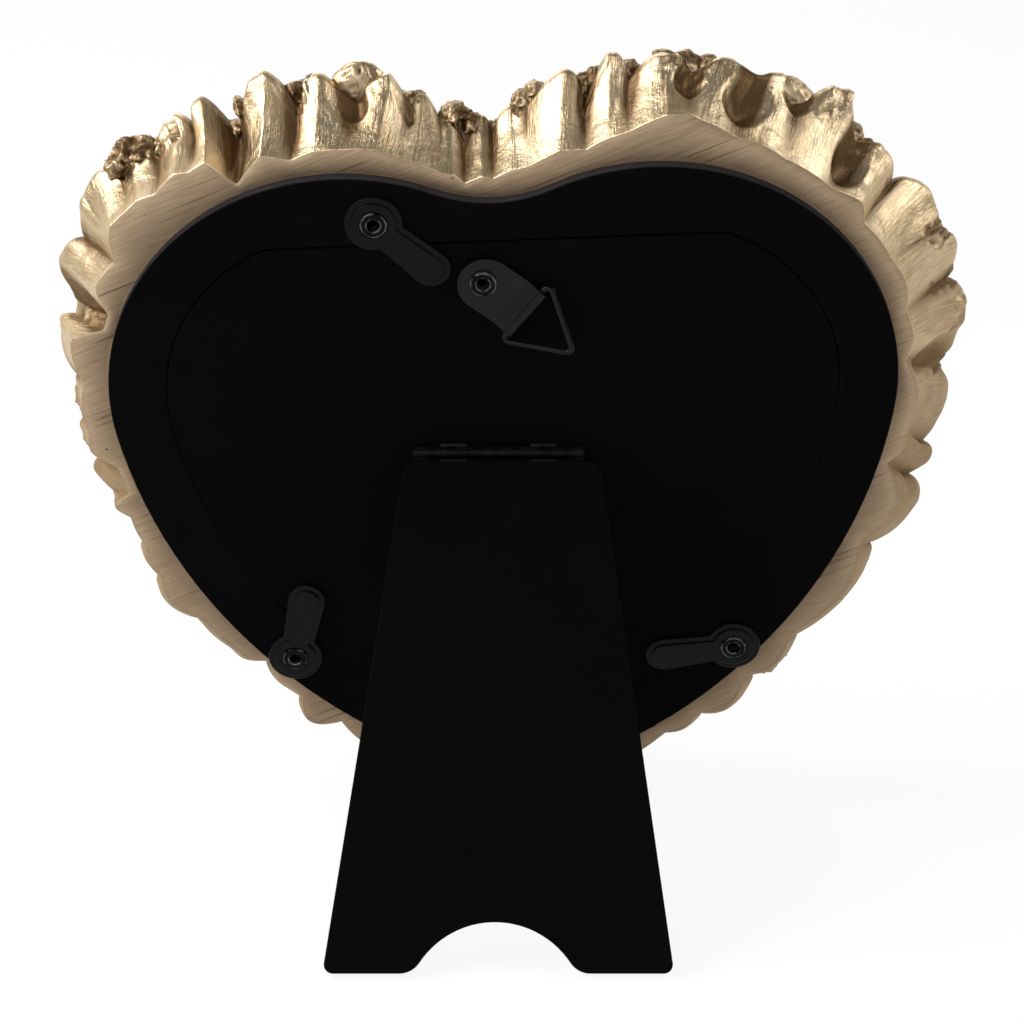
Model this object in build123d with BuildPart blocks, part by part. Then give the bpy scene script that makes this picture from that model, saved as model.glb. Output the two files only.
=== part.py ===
from build123d import *
from math import atan2, cos, degrees, hypot, radians, sin, sqrt, tan
import os

# Heart shaped photo frame on an easel leg, in millimetres.
# World: the front faces -Y, +Z is up, and it stands on z = 0.
# Local on the back: x runs to the right as seen from behind, y runs up the leaning back,
# and z points out of the back. The hinge line is y = 0 and the flat resin back is z = 0.

os.makedirs("parts", exist_ok=True)

# Stance
lean = 10.0                 # how far the frame leans back
leg_opening = 39.5          # angle between the leg and the back when it stands
hinge_rise = 97.0           # from the table up the back to the hinge line
back_foot = 13.0            # from the origin to the line where the back meets the table
heart_roll = 2.5            # the heart stands a little turned on its leg
heart_shift = 1.3           # heart axis from the middle of the hinge

# Heart of the velvet board
lobe_radius = 51.0
lobe_offset = 32.3
lobe_height = 15.0
cleft_radius = 30.3
flank_radius = 121.4
tip_drop = 89.8
tip_rounding = 6.0

# Shield of the removable panel
ring_width = 12.4
shield_cut = 3.1            # the straight top lies this far under the crowns of the lobes
shield_corner = 7.0

# Heart of the front window
window_lobe_radius = 31.0
window_lobe_offset = 29.0
window_lobe_height = 11.0
window_cleft_radius = 14.0
window_flank_radius = 92.0
window_tip_drop = 64.0
window_tip_rounding = 4.0
window_flare = 1.2          # the window widens by this much to its front edge
window_bevel = 4.0          # and by this much more on the bevel of that edge
bevel_depth = 4.0

# Layers
board_thickness = 2.4
velvet_thickness = 0.5
seam_gap = 0.35
glass_thickness = 2.0
sheet_thickness = 0.25
card_thickness = 2.7
pane_gap = 0.5
velvet_rounding = 0.4

# Cast frame
swell_depth = 5.0           # depth of the middle outline of the petal walls
swell_low = 0.72            # share of the flare there on the lower petals, which bulge
swell_high = 0.22           # and on the upper petals, which are hollow
swell_start = -0.45         # rise of a bearing, as its sine, where the petals begin to change
swell_end = 0.3             # and where they have changed
rim_depth = 16.0
face_depth = 18.0
face_step = 3.5

# Roses on the front. Each ring of petals: number, turn, radius at the root and at the edge,
# height at the root and at the edge
flower_count = 17
flower_line = 4.5           # rose centres lie this far inside the edge of the board
flower_lean = 10.0          # and the roses lean outwards
flower_twist = 29.0         # each rose is turned this much more than the one before
first_bearing = 88.0        # the roses are counted from just before the cleft
flower_top = 9.5
petal_dip = 0.84            # radius in the folds between petals, as a share of the petal's
rose_rings = [
    (7, 226.8, 11.5, 15.6, -2.5, 4.4), (5, 151.2, 7.5, 10.4, 3.0, 7.1),
    (5, 75.6, 4.6, 6.2, 6.0, 8.7), (3, 0.0, 2.6, 3.4, 8.0, flower_top),
]

# Leaves between the roses
leaf_length = 11.5
leaf_half = 4.4
leaf_out = 1.5              # the outer leaf starts this far outside the line of the roses
leaf_in = 3.5               # and the inner leaf this far inside it
leaf_rise = 3.4
leaf_root = 1.0             # how deep the leaves and the casting run into each other

# Fluted petals round the rim, counted by bearing about the heart middle. Each row holds a
# crest and the fold after it: bearing, reach over the board edge at the back and at the rim
petal_size = 1.0            # multiplies the reaches in the rows
petals = [
    (-90.0, 6.0, 12.5, -86.0, 4.5, 10.5), (-82.0, 6.0, 13.5, -78.0, 4.5, 10.5),
    (-74.0, 6.0, 12.5, -70.0, 4.0, 11.0), (-66.5, 5.5, 14.6, -63.0, 4.3, 12.3),
    (-59.0, 6.0, 16.2, -53.0, 3.5, 11.5), (-48.5, 6.0, 14.9, -43.5, 4.0, 11.1),
    (-31.0, 6.5, 15.0, -23.0, 4.5, 10.9), (-15.0, 6.5, 15.7, -10.5, 5.0, 11.9),
    (-8.0, 6.0, 14.1, -5.0, 5.0, 12.3), (1.5, 6.3, 16.9, 9.0, 2.2, 11.2),
    (14.0, 3.8, 16.8, 18.5, 3.2, 12.1), (22.5, 5.3, 16.4, 24.5, 5.0, 14.9),
    (27.5, 5.5, 16.1, 32.0, 4.2, 10.8), (37.0, 8.0, 14.6, 41.5, 4.2, 12.4),
    (45.0, 5.0, 18.2, 47.5, 4.8, 16.1), (51.0, 6.2, 17.6, 56.5, 6.4, 13.9),
    (64.0, 12.0, 17.7, 69.0, 8.2, 14.7), (73.0, 6.6, 18.0, 76.5, 5.5, 13.3),
    (80.5, 7.6, 17.9, 84.0, 6.2, 13.0), (86.4, 5.9, 10.4, 89.0, 4.6, 7.1),
    (95.0, 5.0, 12.1, 98.5, 4.8, 10.8), (103.0, 4.6, 16.9, 107.0, 3.2, 15.4),
    (110.5, 6.5, 17.0, 116.0, 5.0, 11.8),
    (119.5, 6.6, 16.6, 125.5, 3.0, 10.9), (130.0, 9.6, 15.5, 134.0, 8.6, 13.3),
    (138.0, 9.4, 17.3, 141.0, 10.0, 16.2), (144.5, 11.0, 18.4, 149.8, 6.0, 10.8),
    (153.5, 8.3, 13.9, 158.5, 2.2, 9.1), (163.0, 9.2, 12.9, 168.0, 6.4, 9.2),
    (173.0, 8.4, 12.6, 177.0, 7.6, 11.8), (179.5, 6.5, 13.6, 182.5, 2.4, 12.2),
    (187.5, 9.0, 14.8, 192.0, 5.6, 10.6), (197.5, 7.8, 12.4, 201.0, 7.0, 11.4),
    (207.0, 8.5, 15.4, 213.0, 6.0, 11.9), (218.5, 5.8, 12.9, 226.0, 2.0, 8.4),
    (236.0, 6.2, 16.5, 242.0, 3.0, 10.8), (247.5, 5.8, 14.0, 253.0, 4.2, 11.0),
    (258.0, 6.0, 13.0, 264.0, 4.5, 10.5),
]

# Turn buttons: bearing of the eyelet about the heart middle, and where the arm points
top_bearing = 113.6
top_inset = 10.7              # from the edge of the board to the eyelet
left_bearing = 226.1
left_inset = 5.4
right_bearing = -47.4
right_inset = 5.4
top_arm_angle = -44.0
left_arm_angle = 76.0
right_arm_angle = 186.5
button_head = 12.0
button_neck = 6.4
button_tip = 8.2
button_reach = 15.5         # from the eyelet to the centre of the round tip
button_sheet = 0.8
button_emboss = 0.45
button_border = 1.3
button_wall = 0.7
button_rounding = 0.25
button_lift = 0.1

# Eyelets
eyelet_barrel = 3.6
eyelet_bore = 2.6
eyelet_flange = 5.6
eyelet_flange_height = 0.7
eyelet_clinch = 5.0
eyelet_clinch_height = 0.5
running_gap = 0.06
fixed_gap = 0.05
seat_gap = 0.1

# Hanger
hanger_x = -3.35
hanger_y = 41.6
hanger_angle = -37.5
strap_width = 12.0
strap_back = 5.2            # from the eyelet to the round end
strap_reach = 10.8          # from the eyelet to the fold
strap_sheet = 0.6
ring_wire = 1.4
ring_base = 18.4
ring_height = 14.2
ring_corner = 1.2
wire_gap = 0.08
fold_run = 2.6              # length of the bend into the fold, in fold radii

# Hinge
hinge_up = 0.7              # pin over the heart middle
knuckle_edges = [-18.3, -12.7, -7.0, 6.4, 12.1, 17.8]
knuckle_gap = 0.12
barrel = 2.8
pin = 1.6
pin_rise = 1.5              # pin axis over the velvet
pin_end = 0.3
leaf_sheet = 0.6
leaf_width = 34.0
leaf_drop = 15.0
leaf_corner = 3.0
leaf_relief = 0.4
stop_gap = 0.05
leaf_rivet = 2.4
leaf_rivet_x = 11.0
leaf_rivet_y = -9.5
leaf_rivet_clinch = 4.0

# Easel leg
leg_top = 41.6
leg_foot = 73.3
leg_top_x = 0.6             # the leg hangs a little askew
leg_foot_x = -0.3
leg_start = 2.1             # top edge under the pin axis
leg_corner = 4.0
foot_corner = 1.9
arch_x = -1.0
arch_width = 34.0
arch_height = 10.6
arch_foot_rounding = 5.0

# Planes of the back
up_back = Vector(0, sin(radians(lean)), cos(radians(lean)))
out_back = Vector(0, cos(radians(lean)), -sin(radians(lean)))
hinge_foot = Vector(0, back_foot, 0) + up_back * hinge_rise
level = Plane(origin=hinge_foot, x_dir=(-1, 0, 0), z_dir=out_back)
heart = Plane(
    origin=level.from_local_coords((heart_shift, 0, 0)),
    x_dir=level.x_dir * cos(radians(heart_roll)) + level.y_dir * sin(radians(heart_roll)),
    z_dir=out_back,
)
velvet_face = board_thickness + velvet_thickness
rabbet_depth = glass_thickness + sheet_thickness + card_thickness

# Plane of the hinge on the flat back, and plane of the open leg on the pin axis
hinge_back = Plane(
    origin=level.from_local_coords((0, hinge_up, 0)), x_dir=level.x_dir, z_dir=level.z_dir
)
leg_plane = Plane(
    origin=hinge_back.from_local_coords((0, 0, velvet_face + pin_rise)),
    x_dir=level.x_dir,
    z_dir=level.z_dir * cos(radians(leg_opening)) + level.y_dir * sin(radians(leg_opening)),
)
leg_length = leg_plane.origin.Z / cos(radians(leg_opening - lean))


def heart_sketch(lobe_r, lobe_x, lobe_y, cleft_r, flank_r, drop, rounding):
    """Heart of tangent arcs: two lobes, one hollow arc for the cleft and two long flanks that
    touch the lobes from outside and meet at the rounded tip."""
    cleft_y = lobe_y + sqrt((cleft_r + lobe_r) ** 2 - lobe_x**2)
    to_lobe = Vector(lobe_x, lobe_y - cleft_y).normalized()
    meet = Vector(0, cleft_y) + to_lobe * cleft_r
    span = flank_r - lobe_r
    tip = Vector(-lobe_x, -drop - lobe_y)
    along = (flank_r**2 - span**2 - tip.length**2) / (2 * span)
    turn = atan2(tip.Y, tip.X) + atan2(sqrt(tip.length**2 - along**2), along)
    touch = Vector(cos(turn), sin(turn))
    lobe = Vector(lobe_x, lobe_y)
    flank = lobe - touch * span
    crown = (touch - to_lobe).normalized()
    outer = (touch + (Vector(0, -drop) - flank).normalized()).normalized()
    notch = (Vector(0, -1) + to_lobe).normalized()
    with BuildSketch() as sketch:
        with BuildLine():
            ThreePointArc((0, cleft_y - cleft_r), Vector(0, cleft_y) + notch * cleft_r, meet)
            ThreePointArc(meet, lobe + crown * lobe_r, lobe + touch * lobe_r)
            ThreePointArc(lobe + touch * lobe_r, flank + outer * flank_r, (0, -drop))
            mirror(about=Plane.YZ)
        make_face()
        fillet(sketch.vertices().sort_by(Axis.Y)[0], rounding)
    return sketch.sketch


def offset_sketch(shape, amount):
    """The same outline, moved out or in by an even amount."""
    with BuildSketch() as sketch:
        add(shape)
        offset(amount=amount)
    return sketch.sketch


board_heart = heart_sketch(
    lobe_radius, lobe_offset, lobe_height, cleft_radius, flank_radius, tip_drop, tip_rounding
)
window_heart = heart_sketch(
    window_lobe_radius, window_lobe_offset, window_lobe_height, window_cleft_radius,
    window_flank_radius, window_tip_drop, window_tip_rounding,
)

# The panel is the heart drawn in by the ring, with a straight top across both lobes
shield_top = lobe_height + lobe_radius - ring_width - shield_cut
with BuildSketch() as shield_builder:
    add(board_heart)
    offset(amount=-ring_width)
    with Locations((0, shield_top)):
        Rectangle(2 * lobe_offset, 2 * (shield_top - lobe_height), align=(Align.CENTER, Align.MAX))
    with Locations((0, shield_top)):
        Rectangle(
            4 * lobe_radius + 2 * lobe_offset, 4 * lobe_radius,
            align=(Align.CENTER, Align.MIN), mode=Mode.SUBTRACT,
        )
    fillet(shield_builder.vertices().sort_by(Axis.Y)[-2:], shield_corner)
shield = shield_builder.sketch

# Distance from the heart middle to the edge of the board along a bearing
board_edge = board_heart.faces()[0].outer_wire()


def edge_reach(bearing):
    """Distance from the heart middle to the edge of the board in one direction."""
    far = 4 * lobe_radius
    ray = Edge.make_line((0, 0), (far * cos(radians(bearing)), far * sin(radians(bearing))))
    hits = [ray.distance_to_with_closest_points(edge) for edge in board_edge.edges()]
    near = [hit[1] for hit in hits if hit[0] < 1e-6]
    return max(hypot(point.X, point.Y) for point in near)


def swell(bearing):
    """Share of its flare that the wall has at the middle outline: it goes smoothly from the lower
    petals to the upper ones."""
    rise = sin(radians(bearing))
    lift = min(max((rise - swell_start) / (swell_end - swell_start), 0), 1)
    return swell_low + (swell_high - swell_low) * lift * lift * (3 - 2 * lift)


def scallops(share, step):
    """Closed line of arcs, one per petal: share says how far from the back to the rim each bearing
    is, and step how far the line is drawn in."""

    def place(bearing, back, rim):
        reach = back + (rim - back) * share(bearing)
        radius = edge_reach(bearing) + petal_size * reach - step
        return radius * cos(radians(bearing)), radius * sin(radians(bearing))

    crest_points = [place(row[0], row[1], row[2]) for row in petals]
    fold_points = [place(row[3], row[4], row[5]) for row in petals]
    with BuildSketch() as sketch:
        with BuildLine():
            for i in range(len(petals)):
                ThreePointArc(fold_points[i - 1], crest_points[i], fold_points[i])
        make_face()
    return sketch.sketch


# Four outlines of the cast body: flat back, middle of the walls, flared rim and front face
back_outline = scallops(lambda bearing: 0, 0)
swell_outline = scallops(swell, 0)
rim_outline = scallops(lambda bearing: 1, 0)
face_outline = scallops(lambda bearing: 1, face_step)


def blossom(count, radius, turn):
    """Closed line of round petals about the origin, the first one at a turn."""
    step = 360 / count
    dip = petal_dip * radius
    with BuildSketch() as sketch:
        with BuildLine():
            for i in range(count):
                start = radians((i - 0.5) * step - turn)
                crest = radians(i * step - turn)
                end = radians((i + 0.5) * step - turn)
                ThreePointArc(
                    (dip * cos(start), dip * sin(start)),
                    (radius * cos(crest), radius * sin(crest)),
                    (dip * cos(end), dip * sin(end)),
                )
        make_face()
    return sketch.sketch


# One rose: rings of petals that open outwards, each standing in the one below
with BuildPart() as rose:
    for count, turn, root, edge, low, high in rose_rings:
        with BuildSketch(Plane.XY.offset(low)):
            add(blossom(count, root, turn))
        with BuildSketch(Plane.XY.offset(high)):
            add(blossom(count, edge, turn))
        loft(ruled=True)

# Two pointed leaves, one to each side of the line of the roses
with BuildPart() as leaf_pair:
    with BuildSketch(Plane.XY.offset(-leaf_root)):
        for start, end in ((leaf_out, leaf_out + leaf_length), (-leaf_in, -leaf_in - leaf_length)):
            middle = (start + end) / 2
            with BuildLine():
                ThreePointArc((start, 0), (middle, leaf_half), (end, 0))
                ThreePointArc((end, 0), (middle, -leaf_half), (start, 0))
            make_face()
    extrude(amount=leaf_rise + leaf_root)

flower_path = offset_sketch(board_heart, -flower_line).faces()[0].outer_wire()


def front_seat(spot, turn, tilt):
    """Place on the front of the casting: x points away from the heart middle, turned and tilted."""
    bearing = atan2(spot.Y, spot.X)
    away = heart.x_dir * cos(bearing) + heart.y_dir * sin(bearing)
    aside = heart.y_dir * cos(bearing) - heart.x_dir * sin(bearing)
    front = -heart.z_dir * cos(radians(tilt)) + away * sin(radians(tilt))
    level_away = away * cos(radians(tilt)) + heart.z_dir * sin(radians(tilt))
    return Plane(
        origin=heart.from_local_coords((spot.X, spot.Y, -face_depth)),
        x_dir=level_away * cos(radians(turn)) + aside * sin(radians(turn)), z_dir=front,
    ).location


def round_order(spot):
    """Angle of a place round the heart, counted from the cleft."""
    return (degrees(atan2(spot.Y, spot.X)) - first_bearing) % 360


rose_spots = [flower_path.position_at((i + 0.5) / flower_count) for i in range(flower_count)]
leaf_spots_front = [flower_path.position_at(i / flower_count) for i in range(flower_count)]
rose_seats = [
    front_seat(spot, flower_twist * i, flower_lean)
    for i, spot in enumerate(sorted(rose_spots, key=round_order))
]
leaf_seats = [front_seat(spot, 0, 0) for spot in leaf_spots_front]

# Cast resin frame: fluted body, roses, leaves, window, rabbet and a flat foot
with BuildPart() as resin_frame:
    with BuildSketch(heart):
        add(back_outline)
    with BuildSketch(heart.offset(-swell_depth)):
        add(swell_outline)
    with BuildSketch(heart.offset(-rim_depth)):
        add(rim_outline)
    with BuildSketch(heart.offset(-face_depth)):
        add(face_outline)
    loft(ruled=True)
    with BuildSketch(heart.offset(-rabbet_depth)):
        add(window_heart)
    with BuildSketch(heart.offset(bevel_depth - face_depth)):
        add(offset_sketch(window_heart, window_flare))
    with BuildSketch(heart.offset(-face_depth)):
        add(offset_sketch(window_heart, window_flare + window_bevel))
    loft(ruled=True, mode=Mode.SUBTRACT)
    with Locations(*rose_seats):
        add(rose.part)
    with Locations(*leaf_seats):
        add(leaf_pair.part)
    with BuildSketch(heart):
        add(offset_sketch(shield, pane_gap))
    extrude(amount=-rabbet_depth, mode=Mode.SUBTRACT)
    with Locations((0, 0, 0)):
        Box(
            8 * lobe_radius, 8 * lobe_radius, 4 * lobe_radius,
            align=(Align.CENTER, Align.CENTER, Align.MAX), mode=Mode.SUBTRACT,
        )
resin_frame.part.label = "resin_frame"
export_step(resin_frame.part, "parts/resin_frame.step")

# Glass, paper insert and filler card, stacked in the rabbet
with BuildPart() as glass_pane:
    with BuildSketch(heart.offset(-rabbet_depth)):
        add(shield)
    extrude(amount=glass_thickness)
glass_pane.part.label = "glass_pane"
export_step(glass_pane.part, "parts/glass_pane.step")

with BuildPart() as photo_sheet:
    with BuildSketch(heart.offset(-rabbet_depth + glass_thickness)):
        add(shield)
    extrude(amount=sheet_thickness)
photo_sheet.part.label = "photo_sheet"
export_step(photo_sheet.part, "parts/photo_sheet.step")

with BuildPart() as filler_card:
    with BuildSketch(heart.offset(-card_thickness)):
        add(shield)
    extrude(amount=card_thickness)
filler_card.part.label = "filler_card"
export_step(filler_card.part, "parts/filler_card.step")

# Places of the three button eyelets on the heart
button_spots = []
for bearing, inset in (
    (top_bearing, top_inset), (left_bearing, left_inset), (right_bearing, right_inset),
):
    radius = edge_reach(bearing) - inset
    button_spots.append((radius * cos(radians(bearing)), radius * sin(radians(bearing))))
hanger_spot = heart.to_local_coords(level.from_local_coords((hanger_x, hanger_y, 0)))
leaf_spots = [(-leaf_rivet_x, leaf_rivet_y), (leaf_rivet_x, leaf_rivet_y)]
ring_cutout = offset_sketch(shield, seam_gap)
eyelet_hole = eyelet_barrel / 2 + fixed_gap
clinch_hole = eyelet_clinch / 2 + fixed_gap
clinch_depth = eyelet_clinch_height + fixed_gap
leaf_hole = leaf_rivet / 2 + fixed_gap
leaf_clinch_hole = leaf_rivet_clinch / 2 + fixed_gap

# Fixed heart ring of board
with BuildPart() as ring_board:
    with BuildSketch(heart):
        add(offset_sketch(board_heart, -velvet_thickness))
        add(offset_sketch(ring_cutout, velvet_thickness), mode=Mode.SUBTRACT)
    extrude(amount=board_thickness)
    with BuildSketch(heart):
        with Locations(*button_spots):
            Circle(eyelet_hole)
    extrude(amount=board_thickness, mode=Mode.SUBTRACT)
    with BuildSketch(heart):
        with Locations(*button_spots):
            Circle(clinch_hole)
    extrude(amount=clinch_depth, mode=Mode.SUBTRACT)
ring_board.part.label = "ring_board"
export_step(ring_board.part, "parts/ring_board.step")

# Velvet paper over the ring, turned down over both of its edges
with BuildPart() as ring_velvet:
    with BuildSketch(heart):
        add(board_heart)
        add(ring_cutout, mode=Mode.SUBTRACT)
    extrude(amount=velvet_face)
    fillet(ring_velvet.faces().sort_by(Axis(heart.origin, heart.z_dir))[-1].edges(), velvet_rounding)
    with BuildSketch(heart):
        add(offset_sketch(board_heart, -velvet_thickness))
        add(offset_sketch(ring_cutout, velvet_thickness), mode=Mode.SUBTRACT)
    extrude(amount=board_thickness, mode=Mode.SUBTRACT)
    with BuildSketch(heart):
        with Locations(*button_spots):
            Circle(eyelet_hole)
    extrude(amount=velvet_face, mode=Mode.SUBTRACT)
ring_velvet.part.label = "ring_velvet"
export_step(ring_velvet.part, "parts/ring_velvet.step")

# Removable inner panel of board
with BuildPart() as panel_board:
    with BuildSketch(heart):
        add(offset_sketch(shield, -velvet_thickness))
    extrude(amount=board_thickness)
    with BuildSketch(heart):
        with Locations((hanger_spot.X, hanger_spot.Y)):
            Circle(eyelet_hole)
    extrude(amount=board_thickness, mode=Mode.SUBTRACT)
    with BuildSketch(heart):
        with Locations((hanger_spot.X, hanger_spot.Y)):
            Circle(clinch_hole)
    extrude(amount=clinch_depth, mode=Mode.SUBTRACT)
    with BuildSketch(hinge_back):
        with Locations(*leaf_spots):
            Circle(leaf_hole)
    extrude(amount=board_thickness, mode=Mode.SUBTRACT)
    with BuildSketch(hinge_back):
        with Locations(*leaf_spots):
            Circle(leaf_clinch_hole)
    extrude(amount=clinch_depth, mode=Mode.SUBTRACT)
panel_board.part.label = "panel_board"
export_step(panel_board.part, "parts/panel_board.step")

# Velvet paper over the panel
with BuildPart() as panel_velvet:
    with BuildSketch(heart):
        add(shield)
    extrude(amount=velvet_face)
    fillet(panel_velvet.faces().sort_by(Axis(heart.origin, heart.z_dir))[-1].edges(), velvet_rounding)
    with BuildSketch(heart):
        add(offset_sketch(shield, -velvet_thickness))
    extrude(amount=board_thickness, mode=Mode.SUBTRACT)
    with BuildSketch(heart):
        with Locations((hanger_spot.X, hanger_spot.Y)):
            Circle(eyelet_hole)
    extrude(amount=velvet_face, mode=Mode.SUBTRACT)
    with BuildSketch(hinge_back):
        with Locations(*leaf_spots):
            Circle(leaf_hole)
    extrude(amount=velvet_face, mode=Mode.SUBTRACT)
panel_velvet.part.label = "panel_velvet"
export_step(panel_velvet.part, "parts/panel_velvet.step")


def button_outline(inset):
    """Pear shaped outline: a round head about the eyelet and an arm that widens to a round tip."""
    head = button_head / 2 - inset
    neck = button_neck / 2 - inset
    tip = button_tip / 2 - inset
    with BuildSketch() as sketch:
        Circle(head)
        with BuildLine():
            Polyline(
                (0, -neck), (button_reach, -tip), (button_reach, tip), (0, neck), close=True
            )
        make_face()
        with Locations((button_reach, 0)):
            Circle(tip)
    return sketch.sketch


button_plan = button_outline(0)
emboss_plan = button_outline(button_border)
hollow_plan = button_outline(button_border + button_wall)
button_bore = eyelet_barrel / 2 + running_gap
dish = eyelet_flange / 2 + 4 * running_gap


def button_seat(spot, angle):
    """Plane of one button: on the velvet, with its x along the arm."""
    turned = radians(angle)
    return Plane(
        origin=heart.from_local_coords((spot[0], spot[1], velvet_face + button_lift)),
        x_dir=heart.x_dir * cos(turned) + heart.y_dir * sin(turned),
        z_dir=heart.z_dir,
    )


top_seat = button_seat(button_spots[0], top_arm_angle)
left_seat = button_seat(button_spots[1], left_arm_angle)
right_seat = button_seat(button_spots[2], right_arm_angle)

# Turn button, pressed from sheet: raised middle, hollow below, dished round the eyelet
with BuildPart() as button_blank:
    with BuildSketch():
        add(button_plan)
    extrude(amount=button_sheet)
    fillet(button_blank.faces().sort_by(Axis.Z)[-1].edges(), button_rounding)
    with BuildSketch():
        add(emboss_plan)
    extrude(amount=button_sheet + button_emboss)
    with BuildSketch():
        add(hollow_plan)
    extrude(amount=button_emboss, mode=Mode.SUBTRACT)
    with BuildSketch():
        Circle(dish + button_sheet)
    extrude(amount=button_sheet)
    with BuildSketch(Plane.XY.offset(button_sheet)):
        Circle(dish)
    extrude(amount=button_emboss, mode=Mode.SUBTRACT)
    with BuildSketch():
        Circle(button_bore)
    extrude(amount=button_sheet, mode=Mode.SUBTRACT)
    fillet(button_blank.faces().sort_by(Axis.Z)[-1].outer_wire().edges(), button_rounding)

with BuildPart() as button_top:
    with Locations(top_seat.location):
        add(button_blank.part)
button_top.part.label = "button_top"
export_step(button_top.part, "parts/button_top.step")

with BuildPart() as button_left:
    with Locations(left_seat.location):
        add(button_blank.part)
button_left.part.label = "button_left"
export_step(button_left.part, "parts/button_left.step")

with BuildPart() as button_right:
    with Locations(right_seat.location):
        add(button_blank.part)
button_right.part.label = "button_right"
export_step(button_right.part, "parts/button_right.step")


def eyelet_profile(grip):
    """Half section of a hollow eyelet: clinched end at the bottom, rolled flange on top of the
    grip. x is the distance from its axis."""
    bore = eyelet_bore / 2
    shank = eyelet_barrel / 2
    flange = eyelet_flange / 2
    clinch = eyelet_clinch / 2
    roll = 0.45 * eyelet_flange_height
    with BuildSketch() as sketch:
        with BuildLine():
            Polyline(
                (bore, 0), (clinch, 0), (clinch, eyelet_clinch_height),
                (shank, eyelet_clinch_height), (shank, grip), (flange, grip),
                (flange, grip + eyelet_flange_height), (bore, grip + eyelet_flange_height),
                close=True,
            )
        make_face()
        crown = sketch.vertices().group_by(Axis.Y)[-1].sort_by(Axis.X)
        fillet(crown, roll)
    return sketch.sketch


def upright(spot):
    """Plane that holds the axis of an eyelet at a spot on the heart."""
    return Plane(
        origin=heart.from_local_coords((spot[0], spot[1], 0)),
        x_dir=heart.x_dir, z_dir=-heart.y_dir,
    )


# Eyelets of the buttons, one node of three solids
button_grip = velvet_face + button_lift + button_sheet + seat_gap
with BuildPart() as button_eyelets:
    for spot in button_spots:
        with BuildSketch(upright(spot)):
            add(eyelet_profile(button_grip))
        revolve(axis=Axis(upright(spot).origin, heart.z_dir))
button_eyelets.part.label = "button_eyelets"
export_step(button_eyelets.part, "parts/button_eyelets.step")

# Hanger strap: sheet folded over the ring wire, both layers under one eyelet
loop_bore = ring_wire / 2 + wire_gap
loop_radius = loop_bore + strap_sheet
half_base = (ring_base - ring_wire) / 2
base_turn = atan2(ring_height - ring_wire / 2, half_base)
loop_width = 2 * (half_base - ring_corner / tan(base_turn / 2) - wire_gap)
loop_start = strap_reach - fold_run * loop_radius
strap_turn = radians(hanger_angle)
strap_seat = Plane(
    origin=level.from_local_coords((hanger_x, hanger_y, velvet_face + button_lift)),
    x_dir=level.x_dir * cos(strap_turn) + level.y_dir * sin(strap_turn),
    z_dir=level.z_dir,
)
strap_side = Plane(origin=strap_seat.origin, x_dir=strap_seat.x_dir, z_dir=-strap_seat.y_dir)
with BuildPart() as hanger_strap:
    with BuildSketch(strap_side):
        with BuildLine():
            Polyline(
                (-strap_back, 0), (strap_reach, 0), (strap_reach, 2 * loop_radius),
                (loop_start, 2 * strap_sheet), (-strap_back, 2 * strap_sheet), close=True,
            )
        make_face()
        with Locations((strap_reach, loop_radius)):
            Circle(loop_radius)
        with Locations((strap_reach, loop_radius)):
            Circle(loop_bore, mode=Mode.SUBTRACT)
    extrude(amount=strap_width / 2, both=True)
    with BuildSketch(strap_seat):
        with Locations((strap_width / 2 - strap_back, 0)):
            Circle(strap_width / 2)
        with Locations((strap_width / 2 - strap_back, 0)):
            Rectangle(
                loop_start + strap_back - strap_width / 2, strap_width,
                align=(Align.MIN, Align.CENTER),
            )
        Rectangle(2 * strap_reach, loop_width, align=(Align.MIN, Align.CENTER))
    extrude(amount=4 * loop_radius, mode=Mode.INTERSECT)
    with BuildSketch(strap_seat):
        Circle(button_bore)
    extrude(amount=4 * loop_radius, mode=Mode.SUBTRACT)
hanger_strap.part.label = "hanger_strap"
export_step(hanger_strap.part, "parts/hanger_strap.step")

# Triangle ring: bent wire, its straight side in the fold of the strap
# and it hangs straight down from there, so it stands off the leaning panel
fold_origin = strap_seat.from_local_coords((strap_reach, 0, loop_radius))
swing = atan2(sin(radians(lean)), -cos(radians(lean)) * sin(strap_turn))
ring_plane = Plane(
    origin=fold_origin,
    x_dir=strap_seat.x_dir * cos(swing) + strap_seat.z_dir * sin(swing),
    z_dir=strap_seat.z_dir * cos(swing) - strap_seat.x_dir * sin(swing),
)
with BuildPart() as hanger_ring:
    with BuildLine(ring_plane) as ring_path:
        FilletPolyline(
            (0, half_base), (ring_height - ring_wire / 2, 0), (0, -half_base),
            radius=ring_corner, close=True,
        )
    with BuildSketch(Plane(origin=ring_path.line @ 0, z_dir=ring_path.line % 0)):
        Circle(ring_wire / 2)
    sweep(path=ring_path.line)
hanger_ring.part.label = "hanger_ring"
export_step(hanger_ring.part, "parts/hanger_ring.step")

# Eyelet of the hanger
strap_grip = velvet_face + button_lift + 2 * strap_sheet + seat_gap
with BuildPart() as hanger_eyelet:
    with BuildSketch(upright((hanger_spot.X, hanger_spot.Y))):
        add(eyelet_profile(strap_grip))
    revolve(axis=Axis(upright((hanger_spot.X, hanger_spot.Y)).origin, heart.z_dir))
hanger_eyelet.part.label = "hanger_eyelet"
export_step(hanger_eyelet.part, "parts/hanger_eyelet.step")

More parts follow.
